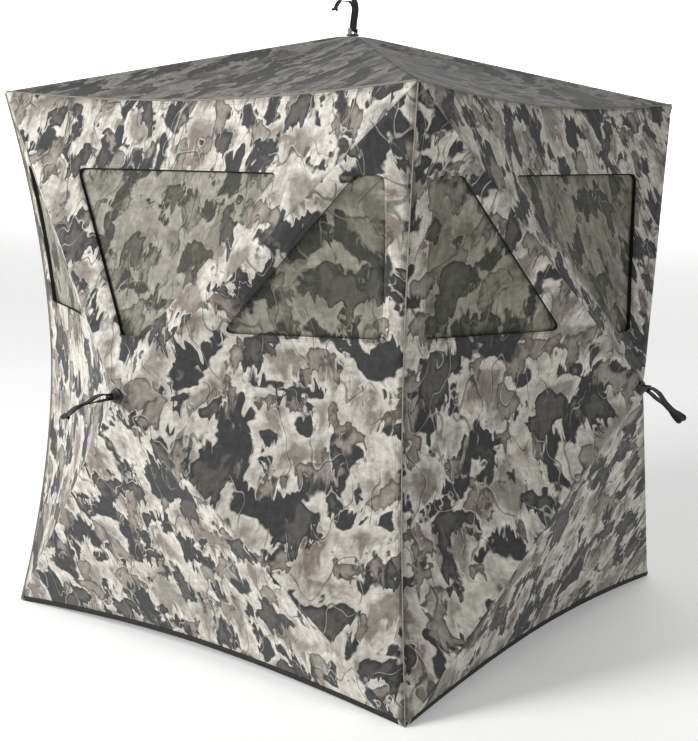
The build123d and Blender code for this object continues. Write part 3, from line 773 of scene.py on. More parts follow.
@dataclass
class Facet:
    """One facet of the stretched shell: a slightly saddled web between two ridges and a curved rim.

    A facet's own place is (r, s): r runs from the hub to the rim, and s runs across.
    """

    side: Side
    kind: Kind
    bow_power: float = 1.8
    sag: float = 0.010
    stay: float = 1.14
    grid: float = 0.017
    fold: float = 0.0022
    pucker: float = 0.0013
    slack: float = 0.0016
    cap_room: float = 0.0078
    neck: float = 0.0135

    @property
    def spread(self) -> Spread:
        """The facet's sizes."""
        return SPREADS[self.kind]

    @property
    def label(self) -> str:
        """The facet's name in the scene."""
        return f"{self.side.label}_{'roof_gore' if self.kind is Kind.ROOF else self.kind.value + '_gore'}"

    @property
    def hub(self) -> str:
        """The hub that pushes the facet out."""
        return "roof" if self.kind is Kind.ROOF else self.side.label

    @property
    def flips(self) -> bool:
        """Whether (r, s) is left-handed seen from outside."""
        return self.kind in (Kind.TOP, Kind.LEFT)

    def bow(self, mu) -> np.ndarray:
        """How far the rim is pulled in, from 0 at a corner to 1 in the middle."""
        return 1 - np.abs(mu) ** self.bow_power

    def share(self, r, s) -> tuple[np.ndarray, np.ndarray]:
        """Where a place lies between hub and rim, and where across: (0 to 1, -1 to 1)."""
        f = self.spread
        slope = s / np.maximum(r, 1e-6)
        mu = np.clip(slope * f.reach / f.half, -1, 1)
        for _ in range(12):
            mu = np.clip(slope * (f.reach - f.pull * self.bow(mu)) / f.half, -1, 1)
        return r / (f.reach - f.pull * self.bow(mu)), mu

    def rim(self, mu: np.ndarray, inset: float = 0.0, narrow: float = 1.0) -> np.ndarray:
        """Places along the curved rim, or inset from it, with their s narrowed."""
        f = self.spread
        return np.stack([f.reach - f.pull * self.bow(mu) - inset, f.half * mu * narrow], 1)

    def height(self, r, s) -> np.ndarray:
        """Out from the middle axis on a wall, or up on the roof."""
        f = self.spread
        lam, mu = self.share(r, s)
        web = f.apex + lam * (f.corner - f.dip * self.bow(mu) - f.apex)
        bowl = 4 * lam * (1 - lam) * self.bow(mu)
        web = web - self.sag * bowl
        phase = self.side.value * 0.07 + len(self.kind.value)
        hem = np.clip((lam - 0.55) / 0.45, 0, 1) * (1 - lam) * 4
        eye = np.exp(-((lam - 0.14) / 0.12) ** 2)
        folds = np.sin(9.0 * mu + phase) + 0.6 * np.sin(17.0 * mu + 2 * phase + 3 * lam)
        pucker = np.sin(31 * mu + phase + 2.0 * np.sin(3 * mu)) * np.sin(5 * mu + phase)
        slack = np.sin(4 * lam + 3 * mu + phase)
        relief = self.fold * eye * folds + self.pucker * hem * pucker + self.slack * bowl * slack
        web = web + relief * self.bow(mu)
        flat = f.apex - self.cap_room
        lower = np.minimum(web, flat)
        near = np.exp(-np.abs(web - flat) / 0.0022)
        return lower - 0.0011 * near

    @property
    def normal(self) -> tuple[float, float]:
        """The facet's usual normal, as its (r, height) parts."""
        f = self.spread
        fall = (f.apex - f.corner + f.dip) / (f.reach - f.pull)
        size = math.hypot(1, fall)
        return fall / size, 1 / size

    def points(self, place: np.ndarray, depth=0.0) -> np.ndarray:
        """Points of the row frame on the facet, or inside it by depth."""
        r, s = place[:, 0], place[:, 1]
        nr, nh = self.normal
        height = self.height(r, s) - depth * nh
        return self.row(r - depth * nr, s, height)

    def row(self, r, s, height) -> np.ndarray:
        """The row frame's points for r, s and height."""
        if self.kind is Kind.ROOF:
            return self.side.world(s, r, height)
        along, up = (r * way[0] + s * way[1] for way in TURNS[self.kind])
        return self.side.world(along, height, MIDDLE_UP + up)

    def print_place(self, place: np.ndarray) -> np.ndarray:
        """Where the print falls, in metres, going on unbroken over the ridges."""
        if self.kind is Kind.ROOF:
            return self.side.world(place[:, 1], place[:, 0], 0.0)[:, :2] * (1.0, 0.9) + (17.0, 4.0)
        sloped = place * (PRINT_STRETCH, 1.0)
        return sloped @ np.array(TURNS[self.kind]).T + (PRINT_STARTS[self.side], 0.0)

    def outline(self, gap: float = 0.02) -> np.ndarray:
        """The facet's outline with the cap's neck left out.

        Args:
            gap: Distance between points of the rim and ridges.

        Returns:
            A counterclockwise ring of (r, s).
        """
        f = self.spread
        rim = self.rim(np.linspace(-1, 1, math.ceil(2 * f.half / gap) + 1))

        def spoke(end: np.ndarray) -> np.ndarray:
            first = end * (self.neck / np.linalg.norm(end))
            count = math.ceil(np.linalg.norm(end) / gap)
            return first + (end - first) * np.linspace(0, 1, count)[:, None]

        out = spoke(rim[0])[:-1]
        back = spoke(rim[-1])[::-1][1:]
        angles = np.arctan2([back[-1][1], out[0][1]], [back[-1][0], out[0][0]])
        arc = np.linspace(angles[0], angles[1], 8)[1:-1]
        neck = self.neck * np.stack([np.cos(arc), np.sin(arc)], 1)
        return np.concatenate([out, rim, back, neck])

    def seam_rows(self) -> list[np.ndarray]:
        """Two rows of stitching beside the rim."""
        return [self.points(self.rim(SEAM_MU, inset, SEAM_NARROW), -THREAD_RISE) for inset in (0.008, 0.014)]

    def follow(self, piece):
        """Bakes a piece's transform into its mesh, and returns the piece."""
        start = self.row(self.spread.reach / self.stay, 0.0, self.spread.apex)
        end = self.row(0.0, 0.0, self.spread.apex)
        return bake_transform(piece, "root", f"{self.hub}_hub", start=tuple(start), end=tuple(end))


def sheet_on(facet: Facet, name: str, ring: np.ndarray, holes: Sequence[np.ndarray], depth: float,
             thick: float, materials: Sequence, gap: float) -> tuple:
    """A sheet that lies along a facet.

    Args:
        facet: The facet it lies along.
        name: The piece's name.
        ring: Its outline in (r, s), counterclockwise.
        holes: Openings in it.
        depth: Depth of its outer face inside the facet.
        thick: Its thickness.
        materials: Outer and inner material.
        gap: Distance between its inner points.

    Returns:
        The piece, its cut size and its area.
    """
    flat, triangles = fill(ring, holes, gap)
    front, back = facet.points(flat, depth), facet.points(flat, depth + thick)
    points, faces, marks = closed_sheet(front, back, triangles, facet.flips)
    places = facet.print_place(flat)
    piece = make_piece(name, points, faces, materials, marks, np.concatenate([places, places]))
    stretch = 1 / facet.normal[1]
    size, area = cut_size(flat * (stretch, 1), triangles)
    return piece, size, area


# Windows


@dataclass
class Window:
    """A mesh window in one facet: an opening, a black-edged recess whose black is partly painted shade, the
    mesh, and a cover behind it.
    """

    facet: Facet
    name: str
    corners: Sequence[tuple[float, float]]
    corner_radius: float = 0.016
    recess: float = 0.0125
    mesh_lap: float = 0.014
    mesh_thick: float = 0.0006
    cover_lap: float = 0.020
    folding_depth: float = 0.0175
    sliding_depth: float = 0.033
    cover_thick: float = 0.0012
    stitch_insets: tuple[float, float] = (0.005, 0.014)

    @property
    def opening(self) -> np.ndarray:
        """The opening's ring in (r, s)."""
        return densify(rounded(counterclockwise(np.array(self.corners)), self.corner_radius), 0.012)

    def surround(self, finishes: Finishes):
        """The black lining that turns in at the opening's edge and holds the mesh; its black walls are partly
        painted shade along the opening's edge.
        """
        ring = self.opening
        lip, under = self.mesh_lap + 4 * MM, self.recess - 0.9 * MM
        steps = [(0.0, 0.4 * MM), (0.0, self.recess), (lip, self.recess), (lip, under), (MM, under),
                 (MM, 1.5 * MM)]
        # The recess walls take the black lining, partly as painted shade along the opening's edge
        points, faces = looped([self.facet.points(grown(ring, out), depth) for out, depth in steps])
        run = np.concatenate([[0], np.cumsum(np.linalg.norm(np.diff(ring, axis=0), axis=1))])
        places = np.concatenate([np.stack([run, np.full(len(ring), 0.01 * k)], 1) for k in range(len(steps))])
        piece = make_piece(f"{self.name}_window_surround", points, faces, [finishes.lining], places=places,
                           smooth=False)
        self.facet.follow(piece)
        return piece

    def stitches(self, finishes: Finishes):
        """Two rows of stitching round the opening."""
        rows = [self.facet.points(grown(self.opening, inset), -THREAD_RISE) for inset in self.stitch_insets]
        piece = repeated(f"{self.name}_window_stitches", rows, finishes.shell_thread, ring=True)
        self.facet.follow(piece)
        return piece

    def screen(self, finishes: Finishes):
        """The see-through mesh."""
        ring = grown(self.opening, self.mesh_lap)
        depth = self.recess - self.mesh_thick - 0.3 * MM
        piece, size, area = sheet_on(self.facet, f"{self.name}_window_mesh", ring, [], depth, self.mesh_thick,
                                     [finishes.mesh, finishes.mesh], 0.03)
        self.facet.follow(piece)
        stand_for(f"{self.facet.side.label}_window_screens")
        f"{self.facet.side.label}_hub"
        return piece

    def cover(self, finishes: Finishes):
        """The opaque cover behind the mesh, set at a folding cover's depth on a top gore and at a sliding
        cover's depth elsewhere.
        """
        body = f"{self.name}_window_cover"
        ring = grown(self.opening, self.cover_lap)
        depth = self.folding_depth if self.facet.kind is Kind.TOP else self.sliding_depth
        piece, size, area = sheet_on(self.facet, f"{self.name}_cover_cloth", ring, [], depth,
                                     self.cover_thick, [finishes.lining, finishes.lining], 0.03)
        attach(piece, body)
        side = self.facet.side
        if self.facet.kind is Kind.TOP:
            axis, anchor = side.world(0.0, 1.0, -0.56), side.world(0.0, 0.470, 0.945)
        else:
            hand = 1 if self.facet.kind is Kind.RIGHT else -1
            axis, anchor = side.world(-0.445 * hand, 1.0, 0.0), side.world(0.256 * hand, 0.535, 1.1)
        f"{side.label}_hub_push"
        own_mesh(piece)
        stand_for(body)
        f"{side.label}_hub"
        return piece

    def build(self, finishes: Finishes) -> list:
        """Makes the window's pieces and returns its trims."""
        trims = [self.surround(finishes), self.stitches(finishes)]
        self.screen(finishes)
        self.cover(finishes)
        log.info("window %s", self.name)
        return trims


# Walls and roof


CENTRE_WINDOW = [(0.577, 0.370), (0.577, -0.370), (0.150, -0.040), (0.150, 0.040)]
SIDE_WINDOW = [(0.590, 0.577), (0.256, 0.175), (0.612, 0.171), (0.648, 0.577)]
DOOR_TIP = (0.118, 0.0)
DOOR_TOP = (0.600, 0.518)
DOOR_HINGE = 0.619
DOOR_SIDE = 0.506
DOOR_FLAP = 0.560


@dataclass
class Wall:
    """A wall panel of four gores on one hub, with windows or a door."""

    side: Side
    finishes: Finishes
    hem_width: float = 0.020
    hem_thick: float = CLOTH + 2.2 * MM
    hem_inset: float = 0.011
    hem_narrow: float = 0.988
    facets: dict = field(default_factory=dict)

    def __post_init__(self) -> None:
        self.facets = {kind: Facet(self.side, kind) for kind in TURNS}

    def windows(self) -> dict:
        """The wall's windows by facet."""
        if self.side is Side.BACK:
            return {}
        label = self.side.label
        return {
            Kind.TOP: Window(self.facets[Kind.TOP], f"{label}_centre", CENTRE_WINDOW),
            Kind.RIGHT: Window(self.facets[Kind.RIGHT], f"{label}_right", SIDE_WINDOW),
            Kind.LEFT: Window(self.facets[Kind.LEFT], f"{label}_left", SIDE_WINDOW),
        }

    def hem(self, facet: Facet):
        """The black binding folded round the hem."""
        mu = np.linspace(-0.985, 0.985, 90)
        middle = facet.rim(mu, self.hem_inset, self.hem_narrow)
        path = facet.points(middle, CLOTH / 2)
        across = facet.points(middle + (MM, 0), CLOTH / 2) - path
        piece = band(f"{self.side.label}_hem_binding", path, across, self.hem_width, self.hem_thick,
                     self.finishes.binding)
        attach(piece, "root")
        return piece

    def rim_stitches(self):
        """Rows of stitching beside the corner and eave seams and along the hem."""
        rows = []
        for kind, facet in self.facets.items():
            if kind is Kind.BOTTOM:
                rows += [facet.points(facet.rim(SEAM_MU, 0.016, SEAM_NARROW), -0.0013),
                         facet.points(facet.rim(SEAM_MU, 0.026, SEAM_NARROW), -THREAD_RISE)]
            else:
                rows += facet.seam_rows()
        piece = repeated(f"{self.side.label}_rim_stitches", rows, self.finishes.shell_thread)
        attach(piece, "root")
        return piece

    def build(self) -> None:
        """Makes the wall's cloth, windows and seams."""
        windows = self.windows()
        holders = [f"{self.side.label}_hub", "top_corner_sockets", "bottom_corner_sockets"]
        shared = [self.hem(self.facets[Kind.BOTTOM]), self.rim_stitches()]
        for kind, facet in self.facets.items():
            holes, trims = [], []
            if kind in windows:
                holes = [windows[kind].opening]
                trims = windows[kind].build(self.finishes)
            if kind is Kind.BOTTOM:
                trims = shared
            rings = [(facet.label, facet.outline())]
            if self.side is Side.BACK and kind is Kind.RIGHT:
                rings = [(f"{facet.label}_upper", self.beside_door(facet, 1)),
                         (f"{facet.label}_lower", self.beside_door(facet, -1)),
                         (f"{facet.label}_rim", self.behind_hinge(facet))]
            for name, ring in rings:
                piece, size, area = sheet_on(facet, name, ring, holes, 0.0, CLOTH,
                                             [self.finishes.cloth, self.finishes.lining], facet.grid)
                facet.follow(piece)
                stand_for(f"{self.side.label}_wall")
        log.info("wall %s", self.side.label)

    def beside_door(self, facet: Facet, hand: int) -> np.ndarray:
        """The upper or lower half of the door side, round the door's opening."""
        f = facet.spread
        rim = facet.rim(np.linspace(DOOR_SIDE / f.half, 1, 16))
        size = float(np.linalg.norm(rim[-1]))
        spoke = rim[-1] * np.linspace(1, facet.neck / size, math.ceil(size / 0.02))[1:, None]
        arc = np.linspace(math.atan2(rim[-1][1], rim[-1][0]), 0, 5)[1:]
        neck = facet.neck * np.stack([np.cos(arc), np.sin(arc)], 1)
        door = [neck[-1], DOOR_TIP, DOOR_TOP, (DOOR_HINGE, DOOR_SIDE), rim[0]]
        edge = []
        for a, b in zip(np.array(door)[:-1], np.array(door)[1:]):
            count = math.ceil(float(np.linalg.norm(b - a)) / 0.02)
            edge += [a + (b - a) * i / count for i in range(count)]
        ring = np.concatenate([edge[1:], rim, spoke, neck])
        return counterclockwise(ring * (1, hand))

    def behind_hinge(self, facet: Facet) -> np.ndarray:
        """The strip of cloth between the door's hinge and the corner seam."""
        rim = facet.rim(np.linspace(-DOOR_SIDE, DOOR_SIDE, 48) / facet.spread.half)
        hinge = np.stack([np.full(48, DOOR_HINGE), np.linspace(DOOR_SIDE, -DOOR_SIDE, 48)], 1)
        return np.concatenate([rim, hinge])


@dataclass
class Roof:
    """The roof panel: four gores on the roof hub, with seams along the eaves and corners."""

    finishes: Finishes
    sag: float = 0.008
    welt_width: float = 0.0075
    welt_thick: float = 0.0026
    welt_rise: float = 0.0008

    def gore(self, side: Side) -> None:
        """One gore of the roof, with its row of stitching."""
        facet = Facet(side, Kind.ROOF, sag=self.sag)
        trim = repeated(f"{side.label}_eave_stitches", facet.seam_rows(), self.finishes.shell_thread)
        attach(trim, "root")
        # The roof's cloth takes the darkened print, which paints the shade on the roof
        piece, size, area = sheet_on(facet, facet.label, facet.outline(), [], 0.0, CLOTH,
                                     [self.finishes.roof, self.finishes.lining], facet.grid)
        facet.follow(piece)
        stand_for("roof_panel")

    def welt(self, name: str, path: np.ndarray, outward: np.ndarray) -> None:
        """A narrow sewn welt that stands along a seam."""
        piece = band(name, path + outward * self.welt_rise, outward, self.welt_width, self.welt_thick,
                     self.finishes.tape)
        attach(piece, "root")

    def seams(self) -> None:
        """The welts along the four corners and the four eaves."""
        mu = np.linspace(-0.995, 0.995, 70)
        for side in Side:
            wall = Facet(side, Kind.RIGHT)
            w = wall.spread
            r = w.reach - w.pull * wall.bow(mu)
            path = side.world(r, w.corner - w.dip * wall.bow(mu), MIDDLE_UP + w.half * mu)
            outward = np.broadcast_to(side.world(1.0, 1.0, 0.0), path.shape)
            self.welt(f"{side.label}_corner_welt", path, outward)
            roof = Facet(side, Kind.ROOF)
            f = roof.spread
            out = f.reach - f.pull * roof.bow(mu)
            path = side.world(f.half * mu, out, f.corner - f.dip * roof.bow(mu))
            outward = np.broadcast_to(side.world(0.0, 0.80, 0.60), path.shape)
            self.welt(f"{side.label}_eave_welt", path, outward)

    def build(self) -> None:
        """Makes the roof's cloth and every seam."""
        for side in Side:
            self.gore(side)
        self.seams()
        log.info("roof")


# Door


@dataclass
class Door:
    """The zipped door of the back wall: a flap, the gusset that it folds on, and two runs of zipper."""

    finishes: Finishes
    tape_width: float = 0.024
    tape_thick: float = 0.0009
    tape_rise: float = 0.0007
    tooth_gap: float = 0.0026
    tooth_radius: float = 0.00075
    coil_offset: float = 0.0011
    coil_rise: float = 0.0021
    thread_offset: float = 0.0095
    thread_rise: float = 0.0013

    def __post_init__(self) -> None:
        self.facet = Facet(Side.BACK, Kind.RIGHT)

    def cloth(self) -> None:
        """The flap, and the gusset beside the corner, both made shut."""
        rise = (DOOR_TOP[1] - DOOR_TIP[1]) / (DOOR_TOP[0] - DOOR_TIP[0])
        fold = (DOOR_FLAP - DOOR_TIP[0]) * rise
        flap = [DOOR_TIP, (DOOR_FLAP, -fold), (DOOR_FLAP, fold)]
        gusset = [(DOOR_FLAP, -fold), (DOOR_TOP[0], -DOOR_TOP[1]), (DOOR_HINGE, -DOOR_SIDE),
                  (DOOR_HINGE, DOOR_SIDE), DOOR_TOP, (DOOR_FLAP, fold)]
        made = []
        for name, ring in (("door_flap", flap), ("door_gusset", gusset)):
            ring = densify(np.array(ring), 0.02)
            piece, size, area = sheet_on(self.facet, name, ring, [], 0.0, CLOTH,
                                         [self.finishes.cloth, self.finishes.lining], self.facet.grid)
            stand_for("door_panel")
            made.append((piece, size, area))
        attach(made[0][0], "door")
        axis, anchor = Side.BACK.world(-0.5, 1.0, 0.0), Side.BACK.world(DOOR_TIP[0], 0.505, MIDDLE_UP)
        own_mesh(made[0][0])
        start = self.facet.row(0.612, 0.0, 0.70)
        end = self.facet.row(0.555, 0.0, 0.70)
        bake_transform(made[1][0])

    def zipper(self, name: str, hand: int) -> None:
        """One run of the zipper, up or down from the door's tip."""
        start, end = np.array(DOOR_TIP) * (1, hand), np.array(DOOR_TOP) * (1, hand)
        ahead = (end - start) / np.linalg.norm(end - start)
        aside = np.array([-ahead[1], ahead[0]])
        line = start + (end - start) * np.linspace(0.012, 0.997, 90)[:, None]
        path = self.facet.points(line, -self.tape_rise)
        across = self.facet.points(line + aside * MM, -self.tape_rise) - path
        tape = band(f"{name}_zip_tape", path, across, self.tape_width, self.tape_thick, self.finishes.binding)
        self.facet.follow(tape)
        stand_for("door_zipper")
        coil, thread = (
            [self.facet.points(line + aside * offset * hand, -rise) for hand in (-1, 1)]
            for offset, rise in ((self.coil_offset, self.coil_rise), (self.thread_offset, self.thread_rise)))
        self.facet.follow(repeated(f"{name}_zip_coil", coil, self.finishes.coil, kind=Repeat.TOOTH,
                                   gap=self.tooth_gap, radius=self.tooth_radius))
        self.facet.follow(repeated(f"{name}_zip_stitches", thread, self.finishes.thread))

    def build(self) -> None:
        """Makes the door and its zipper."""
        self.cloth()
        self.zipper("upper", 1)
        self.zipper("lower", -1)
        log.info("door")


# Webbing


@dataclass
class Strap:
    """A pull strap: a loop of webbing folded round its cap's bar, sewn part way, with an open end."""

    hub: str
    path: Sequence[tuple[float, float]]
    gaps: Sequence[float]
    twist: float
    lean: float
    finishes: Finishes
    width: float = 0.025
    thick: float = 0.0019
    bar: float = 0.0115

    def frame_axes(self) -> tuple:
        """The bar's middle, and the hub's outward, rising and level directions."""
        if self.hub == "roof":
            axes = ((0, 0, ROOF_UP + self.bar), (1, 0, 0), (0, 0, 1), (0, 1, 0))
            return tuple(np.array(axis, float) for axis in axes)
        side = Side[self.hub.upper()]
        return (side.world(0.0, HUB_OUT + self.bar, MIDDLE_UP), side.world(0.0, 1.0, 0.0),
                side.world(0.0, 0.0, 1.0), side.world(1.0, 0.0, 0.0))

    def centre_line(self, count: int = 60) -> tuple[np.ndarray, np.ndarray]:
        """The loop's middle path and half gaps, smoothed, in the hub's plane."""
        knots = np.array(self.path, float)
        t = np.linspace(0, len(knots) - 1, count)
        smooth = np.zeros((count, 2))
        for k, value in enumerate(t):
            i = min(int(value), len(knots) - 2)
            u = value - i
            p = [knots[max(0, min(len(knots) - 1, i + d))] for d in (-1, 0, 1, 2)]
            smooth[k] = 0.5 * (2 * p[1] + (p[2] - p[0]) * u + (2 * p[0] - 5 * p[1] + 4 * p[2] - p[3]) * u * u
                               + (3 * p[1] - p[0] - 3 * p[2] + p[3]) * u ** 3)
        gaps = np.interp(t, np.linspace(0, len(knots) - 1, len(self.gaps)), self.gaps)
        for _ in range(3):
            gaps[1:-1] = (gaps[:-2] + gaps[1:-1] * 2 + gaps[2:]) / 4
        return smooth, gaps

    def ring(self) -> tuple[np.ndarray, np.ndarray, np.ndarray]:
        """The closed webbing loop's path, its across directions, and the line where its legs are sewn."""
        origin, out, rise, level = self.frame_axes()
        line, gaps = self.centre_line()
        ahead = np.gradient(line, axis=0)
        ahead /= np.linalg.norm(ahead, axis=1)[:, None]
        normal = np.stack([-ahead[:, 1], ahead[:, 0]], 1)
        upper, lower = line + normal * gaps[:, None], line - normal * gaps[:, None]

        def cap(centre, heading, radius, way) -> np.ndarray:
            angles = np.linspace(math.pi / 2, -math.pi / 2, 10)[1:-1]
            side = np.array([-heading[1], heading[0]])
            reach = radius * way
            return np.array([centre + reach * (math.cos(a) * heading + math.sin(a) * side) for a in angles])

        tip = cap(line[-1], ahead[-1], gaps[-1], 1)
        heel = cap(line[0], ahead[0], gaps[0], -1)
        flat = np.concatenate([upper, tip, lower[::-1], heel])
        share = np.concatenate([np.linspace(0, 1, len(line)), np.ones(len(tip)), np.linspace(1, 0, len(line)),
                                np.zeros(len(heel))])
        path = origin + flat[:, :1] * out + flat[:, 1:] * rise
        run = np.gradient(line, axis=0)
        run = np.concatenate([run, np.repeat(run[-1:], len(tip), 0), run[::-1],
                              np.repeat(run[:1], len(heel), 0)])
        drift = 1.6 * self.lean * share[:, None] ** 0.6 / len(line)
        along = run[:, :1] * out + run[:, 1:] * rise + drift * level
        along /= np.linalg.norm(along, axis=1)[:, None]
        turn = self.twist * share ** 1.5
        side = np.cross(along, level)
        across = level * np.cos(turn)[:, None] + side * np.sin(turn)[:, None]
        middle = np.concatenate([line, np.repeat(line[-1:], len(tip), 0), line[::-1],
                                 np.repeat(line[:1], len(heel), 0)])
        core = origin + middle[:, :1] * out + middle[:, 1:] * rise
        sideways = self.lean * (share ** 1.6)[:, None] * level
        path, core = path + sideways, core + sideways
        spread = path - core
        path = core + spread * np.cos(turn)[:, None] - np.cross(along, spread) * np.sin(turn)[:, None]
        return path, across, core

    def build(self) -> None:
        """Makes the webbing and its bar tacks."""
        path, across, core = self.ring()
        piece = band(f"{self.hub}_strap_webbing", path, across, self.width, self.thick, self.finishes.webbing,
                     ring=True)
        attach(piece, f"{self.hub}_hub")
        stand_for(f"{self.hub}_pull_strap")
        length = float(np.linalg.norm(path - np.roll(path, 1, axis=0), axis=1).sum())
        rows = []
        for at in (9, 10, 11):
            for sign in (1, -1):
                lift = np.cross(path[at + 1] - path[at], across[at])
                lift = lift / np.linalg.norm(lift) * (self.thick / 2)
                side = across[at] / np.linalg.norm(across[at])
                spots = np.linspace(-0.010, 0.010, 8)
                rows.append(path[at] + lift * sign + spots[:, None] * side)
        tack = repeated(f"{self.hub}_strap_tacks", rows, self.finishes.thread, gap=0.0022, length=0.0019)
        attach(tack, f"{self.hub}_hub")
        f"{self.hub}_hub_cap"
        log.info("strap %s, %.0f mm of webbing", self.hub, length / MM)


@dataclass
class StakeTab:
    """A webbing tab with a ring for a ground stake, inside a bottom corner."""

    x_hand: int
    y_hand: int
    finishes: Finishes
    middle: float = 0.655
    ring_outer: float = 0.0125
    ring_inner: float = 0.0062
    width: float = 0.030

    def build(self) -> None:
        """Makes the tab and its ring."""
        words = {1: ("right", "back"), -1: ("left", "front")}
        name = f"{words[self.y_hand][1]}_{words[self.x_hand][0]}"
        centre = np.array((self.x_hand * self.middle, self.y_hand * self.middle, 0.0022))
        inward = np.array((-self.x_hand, -self.y_hand, 0.0)) / math.sqrt(2)
        aside = np.array((-inward[1], inward[0], 0.0))
        hole = self.ring_outer - 0.003
        ring = np.array([(-0.052, -self.width / 2), (0.022, -self.width / 2), (0.022, self.width / 2),
                         (-0.052, self.width / 2)])
        ring = densify(rounded(ring, 0.004), 0.006)
        turn = np.linspace(0, math.tau, 32, endpoint=False)
        gap = hole * np.stack([np.cos(turn), np.sin(turn)], 1)
        flat, triangles = fill(ring, [gap], 0.008)
        top = centre + flat[:, :1] * inward + flat[:, 1:] * aside
        points, faces, marks = closed_sheet(top + (0, 0, 0.0018), top, triangles, False)
        tab = make_piece(f"{name}_stake_tab", points, oriented(points, faces), [self.finishes.webbing] * 2,
                         marks, np.concatenate([flat, flat]), smooth=False)
        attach(tab, "root")
        stand_for("ground_stake_tabs")
        angle = np.linspace(0, math.tau, 48, endpoint=False)
        inner, outer = self.ring_inner, self.ring_outer
        profile = [(inner, 0.0), (inner + 0.0008, 0.0032), (outer - 0.0012, 0.0034), (outer, 0.0026),
                   (outer, 0.0012), (outer - 0.0008, 0.0004), (inner + 0.0006, -0.0014)]
        rows = [centre + r * (np.cos(angle)[:, None] * inward + np.sin(angle)[:, None] * aside) + (0, 0, z)
                for r, z in profile]
        eyelet = make_piece(f"{name}_stake_ring", *looped(rows), [self.finishes.brass])
        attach(eyelet, "root")
        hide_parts("ground_stake_tabs")


# CAD parts that stay in view


@dataclass
class Hardware:
    """The hard parts, which keep their CAD shapes and take their finishes here."""

    nodes: dict
    finishes: Finishes
    pin_depth: float = 0.045
    fitting_reach: float = 0.075
    tip_length: float = 0.028

    def plain(self, node: str, material) -> None:
        """Gives a whole node one finish."""
        mesh = self.nodes[node].data
        mesh.materials.clear()
        mesh.materials.append(material)

    def pole(self, node: str, hub: str) -> None:
        """Gives a pole its steel fitting, fibreglass rod and rubber tip."""
        mesh = self.nodes[node].data
        count = len(mesh.vertices)
        points = np.zeros(count * 3, np.float32)
        mesh.vertices.foreach_get("co", points)
        points = points.reshape(-1, 3)
        at = (np.array((0, 0, ROOF_UP - self.pin_depth)) if hub == "roof" else
              Side[hub.upper()].world(0.0, HUB_OUT - self.pin_depth, MIDDLE_UP))
        far = np.linalg.norm(points - at, axis=1)
        length = far.max()
        mesh.materials.clear()
        for material in (self.finishes.fibreglass, self.finishes.steel, self.finishes.rubber):
            mesh.materials.append(material)
        for polygon in mesh.polygons:
            span = far[list(polygon.vertices)]
            fitting, tip = span.max() < self.fitting_reach, span.min() > length - self.tip_length
            polygon.material_index = 1 if fitting else 2 if tip else 0

    def build(self) -> None:
        """Dresses every hard part."""
        for hub in ("front", "right", "back", "left", "roof"):
            self.plain(f"{hub}_hub", self.finishes.nylon)
            self.plain(f"{hub}_hub_cap", self.finishes.nylon)
            for node in self.nodes:
                if node.startswith(f"{hub}_pole_"):
                    self.pole(node, hub)
        for node in ("top_corner_sockets", "bottom_corner_sockets", "corner_feet"):
            self.plain(node, self.finishes.nylon)
        for node in ("upper_zip_slider", "lower_zip_slider"):
            self.plain(node, self.finishes.zinc)
        log.info("hardware")


# Studio


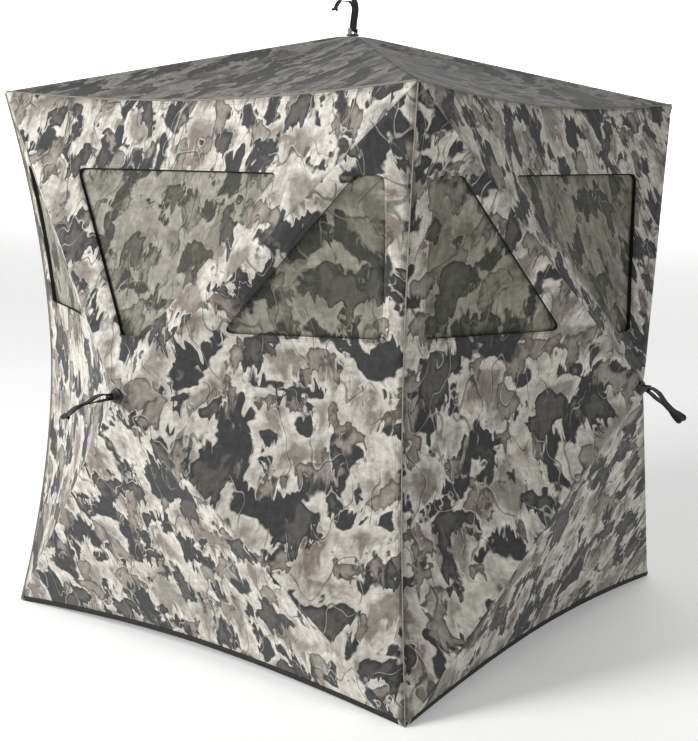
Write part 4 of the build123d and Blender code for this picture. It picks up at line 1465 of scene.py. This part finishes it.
@dataclass
class Studio:
    """A pale floor, soft light and the camera."""

    eye: tuple[float, float, float] = (2.3975, -3.2228, 1.4233)
    azimuth: float = -36.174
    elevation: float = -9.39
    roll: float = 0.752
    lens: float = 61.415
    shift: tuple[float, float] = (-0.01375, -0.01175)
    aim: tuple[float, float, float] = (0.0, 0.0, 0.8)
    light_size: float = 3.5
    floor_glow: float = 0.22
    backdrop_glow: float = 0.95

    def plane(self, name: str, corners: Sequence, material) -> None:
        """A flat piece of the studio."""
        mesh = bpy.data.meshes.new(name)
        mesh.from_pydata(corners, [], [(0, 1, 2, 3)])
        mesh.materials.append(material)
        linked(name, mesh)

    def floor(self) -> None:
        """A wide, pale, slightly uneven floor."""
        material, tree = new_tree("pale_studio_floor")
        place = add(tree, "ShaderNodeTexCoord", out="Object")
        cloud = add(tree, NOISE, {"Vector": place, "Scale": 0.8, "Detail": 3.0})
        tone = add(tree, MIX, {0: cloud, 6: linear("f6f6f5"), 7: linear("fbfbfa")}, **COLOURS)
        surfaced(material, {"Base Color": tone, "Roughness": 0.9, "Emission Color": WHITE,
                            "Emission Strength": self.floor_glow})
        far = 30.0
        self.plane("floor", [(-far, -far, 0), (far, -far, 0), (far, far, 0), (-far, far, 0)], material)

    def backdrop(self) -> None:
        """A white wall far behind the blind."""
        material = surfaced(new_tree("white_backdrop")[0], {"Base Color": WHITE, "Emission Color": WHITE,
                                                            "Emission Strength": self.backdrop_glow})
        self.plane("backdrop", [(-30, 8, -0.01), (8, 30, -0.01), (8, 30, 30), (-30, 8, 30)], material)

    def light(self, name: str, place: Sequence[float], watts: float) -> None:
        """A square soft light."""
        data = bpy.data.lights.new(name, "AREA")
        data.shape, data.size, data.energy = "SQUARE", self.light_size, watts
        lamp = linked(name, data)
        lamp.location = place
        lamp.rotation_mode = "QUATERNION"
        lamp.rotation_quaternion = (Vector(self.aim) - Vector(place)).to_track_quat("-Z", "Y")

    def sky(self) -> None:
        """A white surround, brightest at the horizon."""
        world = bpy.data.worlds.new("studio")
        bpy.context.scene.world = world
        world.use_nodes = True
        world.node_tree.nodes.clear()
        tree = world.node_tree
        way = add(tree, "ShaderNodeTexCoord", out="Generated")
        rise = add(tree, "ShaderNodeSeparateXYZ", {0: way}, out=2)
        power = add(tree, RANGE, {"Value": rise, "From Min": 0.05, "From Max": 0.75, "To Min": 0.80,
                                  "To Max": 0.10})
        back = add(tree, "ShaderNodeBackground", {"Color": WHITE, "Strength": power})
        add(tree, "ShaderNodeOutputWorld", {"Surface": back})

    def camera(self) -> None:
        """The main view."""
        data = bpy.data.cameras.new("camera")
        data.lens, data.sensor_width = self.lens, 36.0
        data.shift_x, data.shift_y = self.shift
        data.dof.use_dof = False
        data.clip_start, data.clip_end = 0.05, 200.0
        camera = linked("camera", data)
        az, el = math.radians(self.azimuth), math.radians(self.elevation)
        ahead = Vector((math.sin(az) * math.cos(el), math.cos(az) * math.cos(el), math.sin(el)))
        camera.location = self.eye
        camera.rotation_mode = "QUATERNION"
        level = ahead.to_track_quat("-Z", "Y")
        camera.rotation_quaternion = Quaternion(ahead, math.radians(-self.roll)) @ level
        bpy.context.scene.camera = camera

    def build(self) -> None:
        """Sets the studio up."""
        self.floor()
        self.sky()
        self.backdrop()
        self.light("key", (-3.2, -6.6, 3.6), 700.0)
        self.light("fill", (7.0, 0.5, 2.2), 60.0)
        self.camera()
        bpy.context.scene.view_settings.view_transform = "Standard"


FRONT_STRAP = [(0.0, 0.0), (0.030, 0.002), (0.062, -0.006), (0.090, -0.016), (0.112, -0.036)]
WALL_STRAP = [(0.0, 0.0), (0.022, -0.010), (0.052, -0.034), (0.080, -0.058), (0.099, -0.072)]
WALL_GAPS = [0.0042, 0.0075, 0.0085, 0.0022, 0.0018, 0.0065, 0.0078]
ROOF_STRAP = [(0.0, 0.0), (0.004, 0.030), (0.008, 0.066), (-0.004, 0.088), (-0.030, 0.093), (-0.056, 0.086),
              (-0.070, 0.066)]
ROOF_GAPS = [0.0042, 0.0035, 0.0030, 0.0060, 0.0055, 0.0022, 0.0016]


def main() -> None:
    """Builds the blind's looks and the studio."""
    logging.basicConfig(level=logging.INFO, format="%(name)s: %(message)s")
    finishes = Finishes()
    for side in Side:
        Wall(side, finishes).build()
    Roof(finishes).build()
    Door(finishes).build()
    Strap("front", FRONT_STRAP, WALL_GAPS, math.radians(30), -0.045, finishes).build()
    for hub in ("right", "back", "left"):
        Strap(hub, WALL_STRAP, WALL_GAPS, math.radians(16), 0.004, finishes).build()
    Strap("roof", ROOF_STRAP, ROOF_GAPS, math.radians(-18), 0.0, finishes).build()
    for x_hand in (-1, 1):
        for y_hand in (-1, 1):
            StakeTab(x_hand, y_hand, finishes).build()
    Hardware(frame["nodes"], finishes).build()
    Studio().build()


if __name__ == "__main__":
    main()
